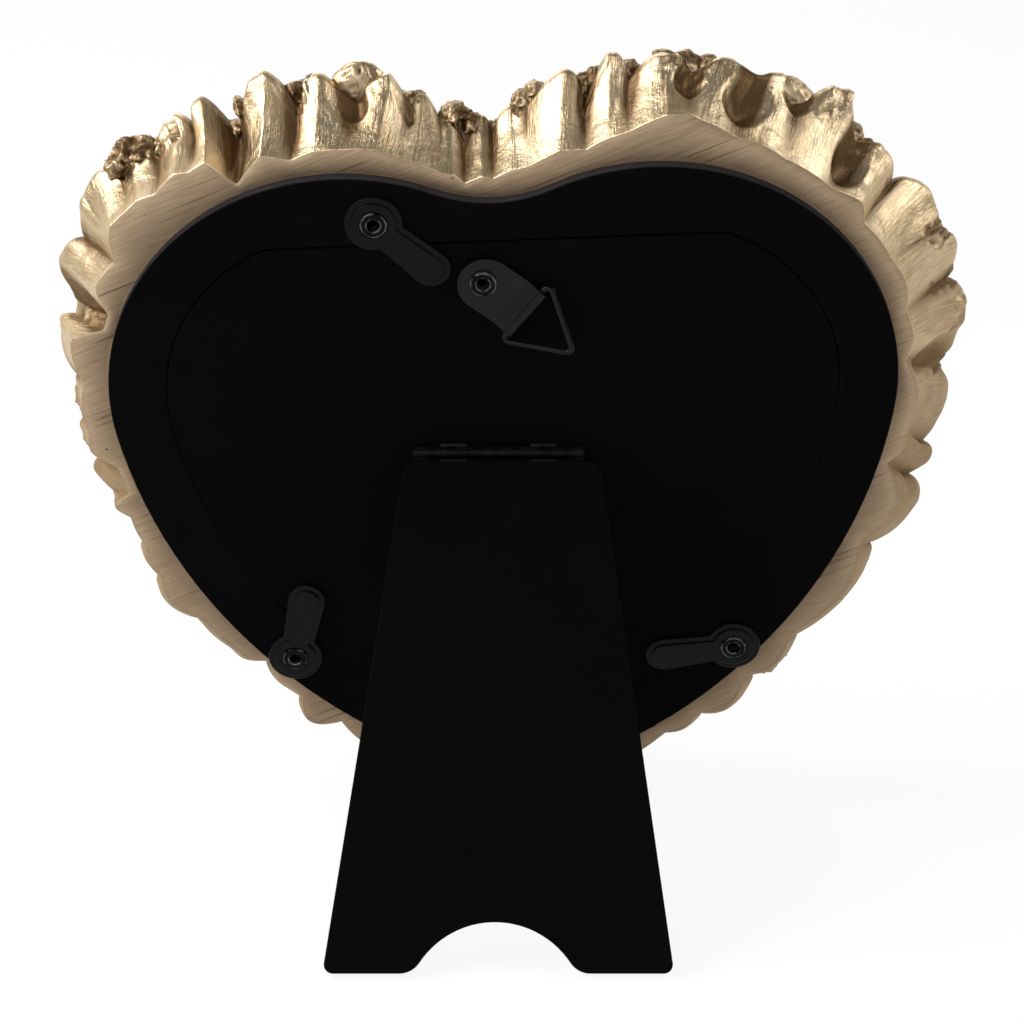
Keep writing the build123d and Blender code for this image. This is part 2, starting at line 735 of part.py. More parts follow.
# Hinge: cross sections lie across the pin, with x up the panel or leg and y out of it
hinge_section = Plane(origin=leg_plane.origin, x_dir=level.y_dir, z_dir=level.x_dir)
leg_section = Plane(origin=leg_plane.origin, x_dir=leg_plane.y_dir, z_dir=leg_plane.x_dir)
pin_bore = pin / 2 + fixed_gap
panel_knuckles = [(knuckle_edges[i], knuckle_edges[i + 1]) for i in (0, 2, 4)]
leg_knuckles = [(knuckle_edges[i], knuckle_edges[i + 1]) for i in (1, 3)]

with BuildPart() as hinge_pin:
    with BuildSketch(hinge_section.offset(knuckle_edges[0] - pin_end)):
        Circle(pin / 2)
    extrude(amount=knuckle_edges[-1] - knuckle_edges[0] + 2 * pin_end)
hinge_pin.part.label = "hinge_pin"
export_step(hinge_pin.part, "parts/hinge_pin.step")

# Leaf on the panel: plate below the barrel, with the outer and middle knuckles
plate_start = barrel / 2 + leaf_relief
with BuildPart() as panel_leaf:
    with BuildSketch(hinge_back.offset(velvet_face)):
        with Locations((0, -plate_start)):
            Rectangle(leaf_width, leaf_drop - plate_start, align=(Align.CENTER, Align.MAX))
    extrude(amount=leaf_sheet)
    fillet(panel_leaf.edges().filter_by(Axis(level.origin, level.z_dir)), leaf_corner)
    for low, high in panel_knuckles:
        with BuildSketch(hinge_section.offset(low + knuckle_gap / 2)):
            Circle(barrel / 2)
            with Locations((0, -pin_rise)):
                Rectangle(barrel, leaf_sheet, align=(Align.MAX, Align.MIN))
        extrude(amount=high - low - knuckle_gap)
    with BuildSketch(hinge_section.offset(knuckle_edges[0])):
        Circle(pin_bore)
    extrude(amount=knuckle_edges[-1] - knuckle_edges[0], mode=Mode.SUBTRACT)
    with BuildSketch(hinge_back.offset(velvet_face)):
        with Locations(*leaf_spots):
            Circle(leaf_hole)
    extrude(amount=leaf_sheet, mode=Mode.SUBTRACT)
panel_leaf.part.label = "panel_leaf"
export_step(panel_leaf.part, "parts/panel_leaf.step")

# Rivets of the panel leaf, flush with it and clinched under the board
with BuildPart() as panel_leaf_rivets:
    with BuildSketch(hinge_back):
        with Locations(*leaf_spots):
            Circle(leaf_rivet / 2)
    extrude(amount=velvet_face + leaf_sheet)
    with BuildSketch(hinge_back):
        with Locations(*leaf_spots):
            Circle(leaf_rivet_clinch / 2)
    extrude(amount=eyelet_clinch_height)
panel_leaf_rivets.part.label = "panel_leaf_rivets"
export_step(panel_leaf_rivets.part, "parts/panel_leaf_rivets.step")

# Leaf on the leg: plate, two knuckles, and lugs that stop on the panel when the leg is open
lug_half = leaf_sheet / 2
open_turn = radians(leg_opening)
lug_length = (pin_rise - stop_gap - lug_half * cos(open_turn)) / sin(open_turn)
with BuildPart() as leg_leaf:
    with BuildSketch(leg_plane.offset(-leaf_sheet)):
        with Locations((0, -plate_start)):
            Rectangle(leaf_width, leaf_drop - plate_start, align=(Align.CENTER, Align.MAX))
    extrude(amount=leaf_sheet)
    fillet(leg_leaf.edges().filter_by(Axis(leg_plane.origin, leg_plane.z_dir)), leaf_corner)
    for low, high in leg_knuckles:
        with BuildSketch(leg_section.offset(low + knuckle_gap / 2)):
            Circle(barrel / 2)
            Rectangle(barrel, leaf_sheet, align=(Align.MAX, Align.MAX))
            Rectangle(lug_length, 2 * lug_half, align=(Align.MIN, Align.CENTER))
        extrude(amount=high - low - knuckle_gap)
    with BuildSketch(leg_section.offset(knuckle_edges[0])):
        Circle(pin_bore)
    extrude(amount=knuckle_edges[-1] - knuckle_edges[0], mode=Mode.SUBTRACT)
    with BuildSketch(leg_plane.offset(-leaf_sheet)):
        with Locations(*leaf_spots):
            Circle(leaf_hole)
    extrude(amount=leaf_sheet, mode=Mode.SUBTRACT)
leg_leaf.part.label = "leg_leaf"
export_step(leg_leaf.part, "parts/leg_leaf.step")

# Outline of the leg: it widens to two feet with an arch between them
with BuildSketch() as leg_builder:
    with BuildLine():
        Polyline(
            (leg_top_x - leg_top / 2, -leg_start), (leg_top_x + leg_top / 2, -leg_start),
            (leg_foot_x + leg_foot / 2, -leg_length), (leg_foot_x - leg_foot / 2, -leg_length),
            close=True,
        )
    make_face()
    fillet(leg_builder.vertices().group_by(Axis.Y)[-1], leg_corner)
    fillet(leg_builder.vertices().group_by(Axis.Y)[0], foot_corner)
    with BuildLine():
        ThreePointArc(
            (arch_x - arch_width / 2, -leg_length), (arch_x, arch_height - leg_length),
            (arch_x + arch_width / 2, -leg_length),
        )
        Line((arch_x + arch_width / 2, -leg_length), (arch_x - arch_width / 2, -leg_length))
    make_face(mode=Mode.SUBTRACT)
    fillet(leg_builder.vertices().group_by(Axis.Y)[0].sort_by(Axis.X)[1:3], arch_foot_rounding)
leg_outline = leg_builder.sketch

with BuildPart() as leg_board:
    with BuildSketch(leg_plane):
        add(offset_sketch(leg_outline, -velvet_thickness))
    extrude(amount=board_thickness)
    with BuildSketch(leg_plane):
        with Locations(*leaf_spots):
            Circle(leaf_hole)
    extrude(amount=board_thickness, mode=Mode.SUBTRACT)
    with BuildSketch(leg_plane.offset(board_thickness)):
        with Locations(*leaf_spots):
            Circle(leaf_clinch_hole)
    extrude(amount=-clinch_depth, mode=Mode.SUBTRACT)
leg_board.part.label = "leg_board"
export_step(leg_board.part, "parts/leg_board.step")

with BuildPart() as leg_velvet:
    with BuildSketch(leg_plane):
        add(leg_outline)
    extrude(amount=velvet_face)
    fillet(
        leg_velvet.faces().sort_by(Axis(leg_plane.origin, leg_plane.z_dir))[-1].edges(),
        velvet_rounding,
    )
    with BuildSketch(leg_plane):
        add(offset_sketch(leg_outline, -velvet_thickness))
    extrude(amount=board_thickness, mode=Mode.SUBTRACT)
leg_velvet.part.label = "leg_velvet"
export_step(leg_velvet.part, "parts/leg_velvet.step")

# Rivets of the leg leaf, clinched under the velvet
with BuildPart() as leg_leaf_rivets:
    with BuildSketch(leg_plane.offset(-leaf_sheet)):
        with Locations(*leaf_spots):
            Circle(leaf_rivet / 2)
    extrude(amount=leaf_sheet + board_thickness)
    with BuildSketch(leg_plane.offset(board_thickness)):
        with Locations(*leaf_spots):
            Circle(leaf_rivet_clinch / 2)
    extrude(amount=-eyelet_clinch_height)
leg_leaf_rivets.part.label = "leg_leaf_rivets"
export_step(leg_leaf_rivets.part, "parts/leg_leaf_rivets.step")
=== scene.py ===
import bmesh
import bpy
import numpy as np
from mathutils import Matrix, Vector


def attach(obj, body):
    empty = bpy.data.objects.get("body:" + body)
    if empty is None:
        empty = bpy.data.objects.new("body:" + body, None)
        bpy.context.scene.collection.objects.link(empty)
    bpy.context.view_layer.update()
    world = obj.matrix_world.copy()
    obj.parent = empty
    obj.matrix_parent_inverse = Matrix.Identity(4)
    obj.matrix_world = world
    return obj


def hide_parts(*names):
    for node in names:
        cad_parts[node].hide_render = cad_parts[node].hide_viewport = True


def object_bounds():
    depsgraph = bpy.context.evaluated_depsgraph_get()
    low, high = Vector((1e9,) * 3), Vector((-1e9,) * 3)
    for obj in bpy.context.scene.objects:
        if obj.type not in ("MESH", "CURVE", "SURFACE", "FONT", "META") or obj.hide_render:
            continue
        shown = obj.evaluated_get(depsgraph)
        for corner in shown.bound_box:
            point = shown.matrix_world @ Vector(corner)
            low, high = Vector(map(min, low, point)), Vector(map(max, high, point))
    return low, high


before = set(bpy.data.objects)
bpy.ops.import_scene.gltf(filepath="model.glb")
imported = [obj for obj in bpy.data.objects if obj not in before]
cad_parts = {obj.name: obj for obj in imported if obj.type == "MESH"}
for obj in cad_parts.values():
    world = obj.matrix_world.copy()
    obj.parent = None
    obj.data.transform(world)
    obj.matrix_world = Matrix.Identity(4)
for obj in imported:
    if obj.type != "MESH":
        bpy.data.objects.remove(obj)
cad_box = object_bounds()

# Cast resin body. One casting of stone resin painted antique gold: a flat sanded band at the back,
# fluted petal walls that flare to a rolled rim, and a rabbet behind the heart shaped window.
# It is one closed surface, a section carried round the heart.
lean = np.radians(10.0)
roll = np.radians(2.5)
foot_line = 13.0
hinge_rise = 97.0
heart_shift = 1.3
across_back = np.array([-1.0, 0.0, 0.0])
up_back = np.array([0.0, np.sin(lean), np.cos(lean)])
out_back = np.array([0.0, np.cos(lean), -np.sin(lean)])
hinge_spot = np.array([0.0, foot_line, 0.0]) + hinge_rise * up_back
heart_spot = hinge_spot + heart_shift * across_back
heart_x = across_back * np.cos(roll) + up_back * np.sin(roll)
heart_y = up_back * np.cos(roll) - across_back * np.sin(roll)


def on_heart(x, y, out):
    """Point at x and y on the heart and out millimetres off the flat resin back, in metres:
    heart middle plus x, y and out along the three directions of the leaning back."""
    x, y, out = np.broadcast_arrays(x, y, out)
    on_back = x[..., None] * heart_x + y[..., None] * heart_y
    return 0.001 * (heart_spot + on_back + out[..., None] * out_back)


def heart_reach(turn, lobe, apart, rise, cleft, flank, drop):
    """Distance from the heart middle to a heart of tangent arcs, along bearings in radians. The ray
    is crossed with the lobe circle, the flank circle that touches it from outside and ends at the
    tip, and the hollow cleft circle between the lobes; the bearing says which one counts."""
    side = np.arctan2(np.sin(turn), np.abs(np.cos(turn)))
    ray = np.stack([np.cos(side), np.sin(side)], axis=-1)
    middle = np.array([apart, rise])
    notch = np.array([0.0, rise + np.sqrt((cleft + lobe) ** 2 - apart**2)])
    span = flank - lobe
    tip = np.array([0.0, -drop]) - middle
    along = (flank**2 - span**2 - tip @ tip) / (2 * span)
    angle = np.arctan2(tip[1], tip[0]) + np.arccos(along / np.hypot(*tip))
    touch = np.array([np.cos(angle), np.sin(angle)])
    meet = middle + lobe * (notch - middle) / (cleft + lobe)
    join = middle + lobe * touch

    def crossing(centre, radius, sign):
        """Where the ray meets a circle, on its far side for sign 1 and its near side for sign -1."""
        dot = ray @ centre
        return dot + sign * np.sqrt(np.maximum(radius**2 - centre @ centre + dot**2, 0.0))

    flank_far = crossing(middle - span * touch, flank, 1)
    lobe_far = crossing(middle, lobe, 1)
    cleft_near = crossing(notch, cleft, -1)
    low = np.where(side > np.arctan2(join[1], join[0]), lobe_far, flank_far)
    return np.where(side > np.arctan2(meet[1], meet[0]), cleft_near, low)


def board_reach(turn):
    """Edge of the velvet board along a bearing."""
    return heart_reach(turn, lobe=51.0, apart=32.3, rise=15.0, cleft=30.3, flank=121.4, drop=89.8)


def window_reach(turn):
    """Edge of the front window along a bearing."""
    return heart_reach(turn, lobe=31.0, apart=29.0, rise=11.0, cleft=14.0, flank=92.0, drop=64.0)


def shield_reach(turn):
    """Edge of the removable panel along a bearing: the board drawn in by the ring, with a flat top."""
    inner = heart_reach(turn, lobe=38.6, apart=32.3, rise=15.0, cleft=42.7, flank=109.0, drop=77.4)
    flat_rise = 50.5
    flat_half = 40.0
    least_sine = 0.2
    above = np.sin(turn) > least_sine
    flat = flat_rise / np.maximum(np.sin(turn), least_sine)
    top = above & (np.abs(np.cos(turn)) * flat < flat_half)
    cut = np.where(above, np.minimum(inner, flat), inner)
    return np.where(top, flat, cut)


# crests and folds by turns round the wall: bearing and reach over the board edge at the back, the same
# at the rim, and how sharp the crest or how open the fold is
flutes = np.array([
    (-90, 6.0, -90, 12.5, 0), (-86, 4.5, -86, 10.5, 0), (-82, 6.0, -82, 13.5, 0),
    (-78, 4.5, -78, 10.5, 0), (-73.5, 6.0, -74, 13.0, 0), (-67.6, 4.4, -68.5, 11.6, 0),
    (-64.6, 6.2, -65.8, 14.6, 0), (-61.2, 4.4, -62.4, 12.0, 0), (-57, 8.0, -59, 16.2, 0),
    (-51.2, 4.0, -53, 11.0, 0), (-46.6, 7.2, -49, 15.0, 0), (-40.6, 4.4, -43.5, 11.0, 0),
    (-29, 8.0, -33, 15.4, 0), (-20.4, 4.6, -24.6, 10.6, 0), (-13.6, 8.4, -17.5, 18.0, 0),
    (-5.6, 2.4, -12.6, 10.6, 0.2), (-2.2, 4.9, -10, 16.0, 0), (0.2, 4.6, -7.4, 10.7, 0),
    (4.6, 5.2, -1.2, 15.6, 0), (11.6, 1.8, 5.4, 10.2, 0.5), (15, 3.8, 10.4, 17.2, 0),
    (19, 3.3, 17, 12.4, 0), (23.4, 5.2, 20.2, 17.4, 0), (27, 4.8, 24.2, 14.8, 0.4),
    (30, 5.0, 27.8, 16.1, 0), (33.6, 4.8, 32.3, 10.4, 0), (36.2, 7.6, 35.6, 15.0, 0),
    (40, 5.8, 40.6, 14.2, 0.9), (42.6, 6.0, 44.2, 19.2, 0.2), (47.8, 6.4, 48.8, 14.6, 0.8),
    (51, 7.4, 51, 17.0, 0.3), (55, 7.6, 55, 16.8, 0.9), (59.5, 9.8, 58.8, 17.6, 0.2),
    (62.0, 11.4, 62.4, 14.0, 1), (64.6, 11.2, 66, 18.4, 0.2), (68.8, 7.8, 70, 13.2, 0.3),
    (71.6, 6.8, 73, 19.0, 0.3), (74.4, 5.4, 75.2, 10.8, 0.6), (78.8, 7.2, 79.2, 17.8, 0),
    (84, 5.8, 84.2, 13.0, 0.5), (86.6, 5.6, 86.6, 12.0, 0.5), (89.8, 4.2, 89.6, 7.2, 0.2),
    (91.8, 4.6, 91.6, 10.0, 0.3), (95.2, 2.8, 94.8, 7.0, 0.2), (97, 4.4, 96.8, 11.6, 0.2),
    (99.2, 4.4, 98.4, 10.2, 0.6), (103, 5.0, 100.6, 13.6, 0.1), (105.2, 5.4, 102.2, 12.6, 0.6),
    (108.4, 6.4, 104.2, 17.4, 0.3), (112.4, 6.0, 109.4, 12.4, 0.9), (116.8, 5.6, 113.6, 16.2, 0.2),
    (120.4, 4.2, 117.4, 9.6, 0.7), (123.6, 6.8, 119.6, 18.0, 0.9), (128.9, 2.2, 126.2, 7.4, 0.6),
    (129.1, 3.2, 126.7, 8.0, 0), (129.3, 4.4, 127.1, 8.6, 0.3), (129.8, 9.6, 128.1, 16.8, 0.2),
    (132.4, 9.4, 130.9, 10.8, 0.1), (134, 10.6, 132.2, 15.8, 0.2), (137.6, 9.4, 136.8, 10.4, 0.3),
    (139.8, 10.8, 139.6, 14.8, 0), (141.8, 10.8, 141.6, 12.2, 0), (144.6, 11.0, 144.4, 17.2, 0),
    (148.8, 5.8, 151.6, 11.6, 0.2), (152.8, 6.8, 156.6, 15.2, 0), (156.6, 2.2, 160.2, 8.4, 0.6),
    (157.6, 2.3, 161.6, 9.0, 0), (159.0, 2.4, 163.0, 8.6, 0.4), (162, 8.6, 165.6, 13.2, 0),
    (168, 5.5, 171.6, 8.2, 0), (172.8, 7.0, 175.5, 11.0, 0), (175.6, 6.6, 178.5, 10.2, 0),
    (178.3, 7.5, 182.2, 12.6, 0), (181.6, 3.0, 184.2, 9.0, 0.6), (184.2, 2.8, 187.6, 13.8, 0),
    (186.2, 3.2, 190.2, 10.4, 0.4), (188, 7.4, 192, 12.0, 0), (190.2, 5.3, 194.4, 9.0, 0),
    (193.6, 5.8, 197.4, 10.8, 0), (196, 5.6, 199.6, 9.8, 0), (199, 7.2, 203, 13.6, 0),
    (201.8, 6.8, 205.6, 12.0, 0), (206.2, 8.8, 210.2, 16.0, 0), (210.8, 5.8, 214.4, 11.8, 0),
    (215.5, 5.6, 219, 13.8, 0), (218.4, 5.1, 221.6, 11.8, 0), (220.8, 4.9, 223.6, 13.2, 0),
    (224.4, 1.0, 227.2, 8.2, 0.2), (229.5, 3.3, 232, 12.4, 0), (232.8, 3.6, 235.2, 11.2, 0),
    (236.4, 8.4, 238.6, 16.6, 0), (240.6, 3.2, 242.6, 11.0, 0), (245.5, 6.2, 247, 15.0, 0),
    (250, 4.2, 250.5, 11.0, 0), (254, 6.0, 254, 13.5, 0), (258, 4.5, 258, 10.5, 0),
    (262, 6.0, 262, 13.0, 0), (266, 4.5, 266, 10.5, 0), (270, 6.0, 270, 12.5, 0),
])


def lumps(points, size, seed):
    """Smooth random lumps between -1 and 1, size millimetres across: random values on a cubic lattice,
    blended by a smooth step along each axis."""
    cell = np.asarray(points, dtype=float) / size
    low = np.floor(cell)
    part = cell - low
    part = part * part * (3 - 2 * part)

    def value(step):
        """Random value of a lattice corner: the fraction of a large sine of its place."""
        mixed = np.sin((low + step) @ np.array([127.1, 311.7, 74.7]) + seed * 19.19) * 43758.5453
        return 2 * (mixed - np.floor(mixed)) - 1

    total = 0.0
    for step in np.ndindex(2, 2, 2):
        share = np.prod(np.where(np.array(step) == 1, part, 1 - part), axis=-1)
        total = total + share * value(np.array(step))
    return total


def surface(name, points, close_u, close_v, flow=None, **paint):
    """Mesh of grids of points shaped (..., u, v, 3): each cell is one quad, and the grid is joined to
    itself where it closes. flow is its UV map in centimetres, and each paint is an attribute with a value
    for every point."""
    points = points.reshape((-1,) + points.shape[-3:])
    count, across, along = points.shape[:3]
    u = np.arange(across if close_u else across - 1)
    v = np.arange(along if close_v else along - 1)
    corner = [(0, 0), (1, 0), (1, 1), (0, 1)]
    quads = np.stack(
        [((u + du) % across)[:, None] * along + ((v + dv) % along)[None, :] for du, dv in corner], axis=-1
    ).reshape(-1, 4)
    quads = (quads[None] + (np.arange(count) * across * along)[:, None, None]).reshape(-1, 4)
    mesh = bpy.data.meshes.new(name)
    mesh.vertices.add(count * across * along)
    mesh.vertices.foreach_set("co", points.reshape(-1).astype(np.float32))
    mesh.loops.add(quads.size)
    mesh.loops.foreach_set("vertex_index", quads.ravel().astype(np.int32))
    mesh.polygons.add(len(quads))
    mesh.polygons.foreach_set("loop_start", np.arange(0, quads.size, 4, dtype=np.int32))
    mesh.polygons.foreach_set("use_smooth", np.ones(len(quads), dtype=bool))
    mesh.update(calc_edges=True)
    if flow is not None:
        flow_u, flow_v = flow
        maps = [np.meshgrid(flow_u[u + du], flow_v[v + dv], indexing="ij") for du, dv in corner]
        loops = np.stack([np.stack(pair, axis=-1) for pair in maps], axis=-2)
        layer = mesh.uv_layers.new(name="flow")
        layer.data.foreach_set("uv", np.tile(loops.reshape(-1), count).astype(np.float32))
    for key, values in paint.items():
        mesh.attributes.new(key, "FLOAT", "POINT")
        mesh.attributes[key].data.foreach_set("value", values.reshape(-1).astype(np.float32))
    piece = bpy.data.objects.new(name, mesh)
    bpy.context.scene.collection.objects.link(piece)
    return piece


def weld(piece):
    """Joins the points of a piece that lie on each other, so that its poles are closed."""
    shape = bmesh.new()
    shape.from_mesh(piece.data)
    bmesh.ops.remove_doubles(shape, verts=shape.verts, dist=1e-7)
    shape.to_mesh(piece.data)
    shape.free()


def creases(place):
    """Sharp creases between rounded lumps: the fold lines of three sizes of smooth lumps, which are bent by
    a fourth, and fine grains."""
    bent = place + 1.2 * np.stack([lumps(place, 3.0, seed) for seed in (11, 12, 13)], axis=-1)
    folds = [share * (0.8 - 2.0 * np.abs(lumps(bent, size, seed))) for share, size, seed in
             ((0.7, 3.0, 21), (0.8, 1.6, 22), (0.35, 0.8, 24))]
    return sum(folds) + 0.3 * lumps(place, 0.6, 23)


columns = 1500
wall_rows = 28
rim_rows = 14
degree_length = 1.3
face_depth = 17.8
rabbet_depth = 4.95
# columns are spaced by the walk over crests and folds, so that steep flanks get enough of them
spread = degree_length * np.abs(np.diff(flutes[:, (0, 2)], axis=0)).max(axis=1)
strides = np.hypot(spread, np.abs(np.diff(flutes[:, (1, 3)], axis=0)).max(axis=1))
walk = np.insert(np.cumsum(strides), 0, 0.0)
row_at = np.interp(np.linspace(0.0, walk[-1], columns, endpoint=False), walk, np.arange(len(flutes)))
row = np.floor(row_at).astype(int)
crest = row + row % 2
fold = row + 1 - row % 2
slope = np.abs(row_at - fold)[:, None]
crests = flutes[crest][:, :, None]
folds = flutes[fold][:, :, None]
turns = (folds[:, 0] + (crests[:, 0] - folds[:, 0]) * slope)[:, 0]
bearing = np.radians(turns)
board = board_reach(bearing)
one = np.ones_like(board)
shield = shield_reach(bearing) + 0.5 - board
window = window_reach(bearing) - board
upper = np.clip((np.sin(bearing) + 0.45) / 0.75, 0.0, 1.0)
upper = upper * upper * (3 - 2 * upper)
seeds = np.random.default_rng(5)
tall = seeds.uniform(-1.2, 1.4, len(flutes))[crest, None]


def stack(*pairs):
    """Columns of reach and depth, one pair per line of the section."""
    lines = [np.stack(np.broadcast_arrays(reach * one, depth * one), axis=-1) for reach, depth in pairs]
    return np.stack(lines, axis=1)


# hollows spooned out of the walls: bearing, share of the wall height, half width, half height, depth
scoops = [
    (39.4, 0.58, 2.8, 0.48, 3.6), (55.0, 0.60, 3.4, 0.40, 3.6), (62.6, 0.72, 2.4, 0.28, 2.2),
    (103.0, 0.92, 1.3, 0.26, 1.8), (49.0, 0.98, 2.6, 0.26, 2.4), (133.0, 0.90, 0.9, 0.30, 1.6),
    (158.0, 0.60, 2.6, 0.60, 2.0), (9.0, 0.70, 2.2, 0.60, 1.6), (-12.0, 0.66, 2.2, 0.40, 1.2),
    (110.4, 0.86, 2.8, 0.34, 2.2),
]
# crumpled ends of petals: bearing at the rim, share of the wall height, half width, half height
crumples = [
    (23.4, 0.90, 2.6, 0.40), (16.8, 0.95, 1.6, 0.30), (11.6, 0.95, 2.6, 0.34), (5.6, 0.85, 1.6, 0.40),
    (160.4, 0.55, 2.4, 0.60), (175.6, 0.95, 1.6, 0.30), (182.8, 0.95, 1.8, 0.30),
    (139.6, 1.0, 3.0, 0.36), (134.0, 1.0, 1.6, 0.30), (117.0, 1.0, 2.2, 0.30), (96.0, 1.0, 2.6, 0.32),
    (75.0, 1.0, 2.0, 0.30), (63.4, 1.0, 3.6, 0.26), (45.0, 1.0, 2.4, 0.30), (38.0, 1.0, 2.0, 0.30),
    (-49.0, 0.80, 3.0, 0.50),
]
# brown zones in the hollows, partly wash left on there and partly painted shade: bearing, half width,
# amount
brown_zones = [
    (92.6, 4.4, 0.60), (128.0, 1.4, 0.55), (55.0, 2.8, 0.70), (39.8, 3.0, 0.70), (77.4, 2.6, 0.40),
    (82.6, 1.6, 0.30), (101.0, 2.2, 0.35), (120.0, 1.8, 0.35), (111.0, 2.2, 0.35), (69.8, 1.4, 0.35),
    (63.2, 2.4, 0.35), (158.0, 2.4, 0.55), (183.0, 2.0, 0.30),
]
# the wall goes from fold to crest along a round, swayed or sharp line, and from the back to the rim it
# bulges in the lower half and flares in the upper half
high = np.linspace(0.02, 1.0, wall_rows)[None, :]
lift = upper[:, None]
full = np.sqrt(np.clip(1 - (1 - slope) ** 2, 0.0, 1.0))
rounded = full + (np.sin(0.5 * np.pi * slope) - full) * (1 - high)
swayed = 0.5 - 0.5 * np.cos(np.pi * slope**0.8)
sharp = crests[:, 4] * (1 - high**2)
openness = folds[:, 4]
blunt = (1 - openness) * rounded + openness * swayed
keen = (1 - openness) * slope + openness * slope**1.7
weight = (1 - sharp) * blunt + sharp * keen
straight = 0.7 * np.clip((np.sin(bearing)[:, None] - 0.45) / 0.15, 0.0, 1.0) * (1 - high)
weight = (1 - straight) * weight + straight * slope
back_reach = folds[:, 1] + (crests[:, 1] - folds[:, 1]) * weight
rim_reach = folds[:, 3] + (crests[:, 3] - folds[:, 3]) * weight
rim_turn = folds[:, 2] + (crests[:, 2] - folds[:, 2]) * slope
rim_depth = 12.0 + (3.0 + tall) * weight[:, -1:]
lip = 1.4 + 1.0 * weight[:, -1:]
flare = np.radians(42.0) * lift
bulged = 0.75 * high + 0.25 * np.sin(0.5 * np.pi * high)
flared = 0.7 * high + 0.3 * high**2
share = (1 - lift) * bulged + lift * flared
sunk_in = 0.75 * high + 0.25 - 0.25 * np.cos(0.5 * np.pi * high)
wall_depth = rim_depth * ((1 - lift) * sunk_in + lift * high)
wall_reach = back_reach + (rim_reach - lip * (1 - np.cos(flare)) - back_reach) * share
wall_turn = turns[:, None] + (rim_turn - turns[:, None]) * high
# its relief: spooned hollows, soft lumps and the crumpled ends of petals
spooned = np.zeros_like(wall_reach)
for at, middle, wide, tall_half, deep in scoops:
    dish = 1 - ((wall_turn - at) / wide) ** 2 - ((high - middle) / tall_half) ** 2
    spooned = np.maximum(spooned, deep * np.clip(dish, 0.0, 1.0) ** 1.2)
swing = np.radians(wall_turn)
mean_reach = 80.0
mean_depth = 15.0
place = np.stack(
    [mean_reach * np.cos(swing), mean_reach * np.sin(swing), mean_depth * high + 0 * swing], axis=-1
)
grooved = place * np.array([1.0, 1.0, 0.12])
rough = high * (0.3 + 0.7 * lift)
lumpy = 0.6 * lumps(place, 6.0, 3) + 0.4 * lumps(place, 2.8, 4) + 0.26 * lumps(grooved, 1.5, 6)
crumpled = np.zeros_like(wall_reach)
for at, middle, wide, tall_half in crumples:
    patch = 1 - ((wall_turn - at) / wide) ** 2 - ((high - middle) / tall_half) ** 2
    crumpled = np.maximum(crumpled, np.clip(2 * patch, 0.0, 1.0))
creased = creases(place)
wall_reach = wall_reach - spooned + rough * lumpy + 0.8 * crumpled * creased
# the rim rolls over by its lip, the bed runs from there to the window, and the rabbet and the flat band
# close the section at the back
bend = np.linspace(0.0, 1.0, rim_rows)[None, 1:]
roll_over = -flare + (np.radians(165.0) + flare) * bend
rim_row_reach = wall_reach[:, -1:] + lip * (np.cos(roll_over) - np.cos(flare))
rim_row_depth = wall_depth[:, -1:] + lip * (np.sin(roll_over) + np.sin(flare))
top_reach, top_depth = rim_row_reach[:, -1], rim_row_depth[:, -1]
wall = np.stack([wall_reach, wall_depth], axis=-1)
rim = np.stack([rim_row_reach, rim_row_depth], axis=-1)
tip_fill = np.clip((-np.sin(bearing) - 0.90) / 0.08, 0.0, 1.0)
bed = stack(
    (top_reach - 0.8, top_depth - 1.6 + 2.4 * tip_fill),
    (top_reach - 2.2, 14.0 + 5.6 * tip_fill),
    (0.5 * top_reach - 1.0, 16.0 + 3.8 * tip_fill),
    (-2.0, 17.4 + 1.2 * tip_fill),
    (-7.0, face_depth),
    (0.5 * window - 4.0, face_depth),
    (window + 5.2, face_depth),
    (window + 3.2, 16.0),
    (window + 1.2, 14.0),
)
inside = stack((window + 1.0, 11.0), (window + 0.6, 8.0), (window, rabbet_depth))
rabbet = stack(
    (0.5 * (window + shield), rabbet_depth), (shield, rabbet_depth), (shield, 2.0), (shield, 0.0)
)
edge = wall_reach[:, 0] - 0.1
band = stack(
    (0.5 * shield, 0.0), (-1.0, 0.0), (0.12 * edge, 0.0), (0.35 * edge, 0.0), (0.7 * edge, 0.0), (edge, 0.0)
)
section = np.concatenate([rabbet, band, wall, rim, bed, inside], axis=1)
first_wall = rabbet.shape[1] + band.shape[1]
last_wall = first_wall + wall.shape[1] + rim.shape[1]
# each wall leans sideways, from its bearing at the back to its bearing at the rim
along = np.zeros(section.shape[1])
along[first_wall:last_wall] = np.minimum(np.arange(1, last_wall - first_wall + 1) / wall.shape[1], 1.0)
along[last_wall:last_wall + 3] = (0.9, 0.6, 0.3)
swing = bearing[:, None] + np.radians(rim_turn - turns[:, None]) * along
radius = board_reach(swing) + section[..., 0]
depth = section[..., 1]
body_points = on_heart(radius * np.cos(swing), radius * np.sin(swing), -depth)
body_points = np.clip(body_points, cad_box[0], cad_box[1])
steps = np.linalg.norm(np.diff(body_points, axis=1), axis=-1).mean(axis=0)
closing_step = 0.006
flow_round = 78.0
flow_v = 100 * np.append(np.insert(np.cumsum(steps), 0, 0.0), steps.sum() + closing_step)
flow_u = np.linspace(0.0, flow_round, columns + 1)
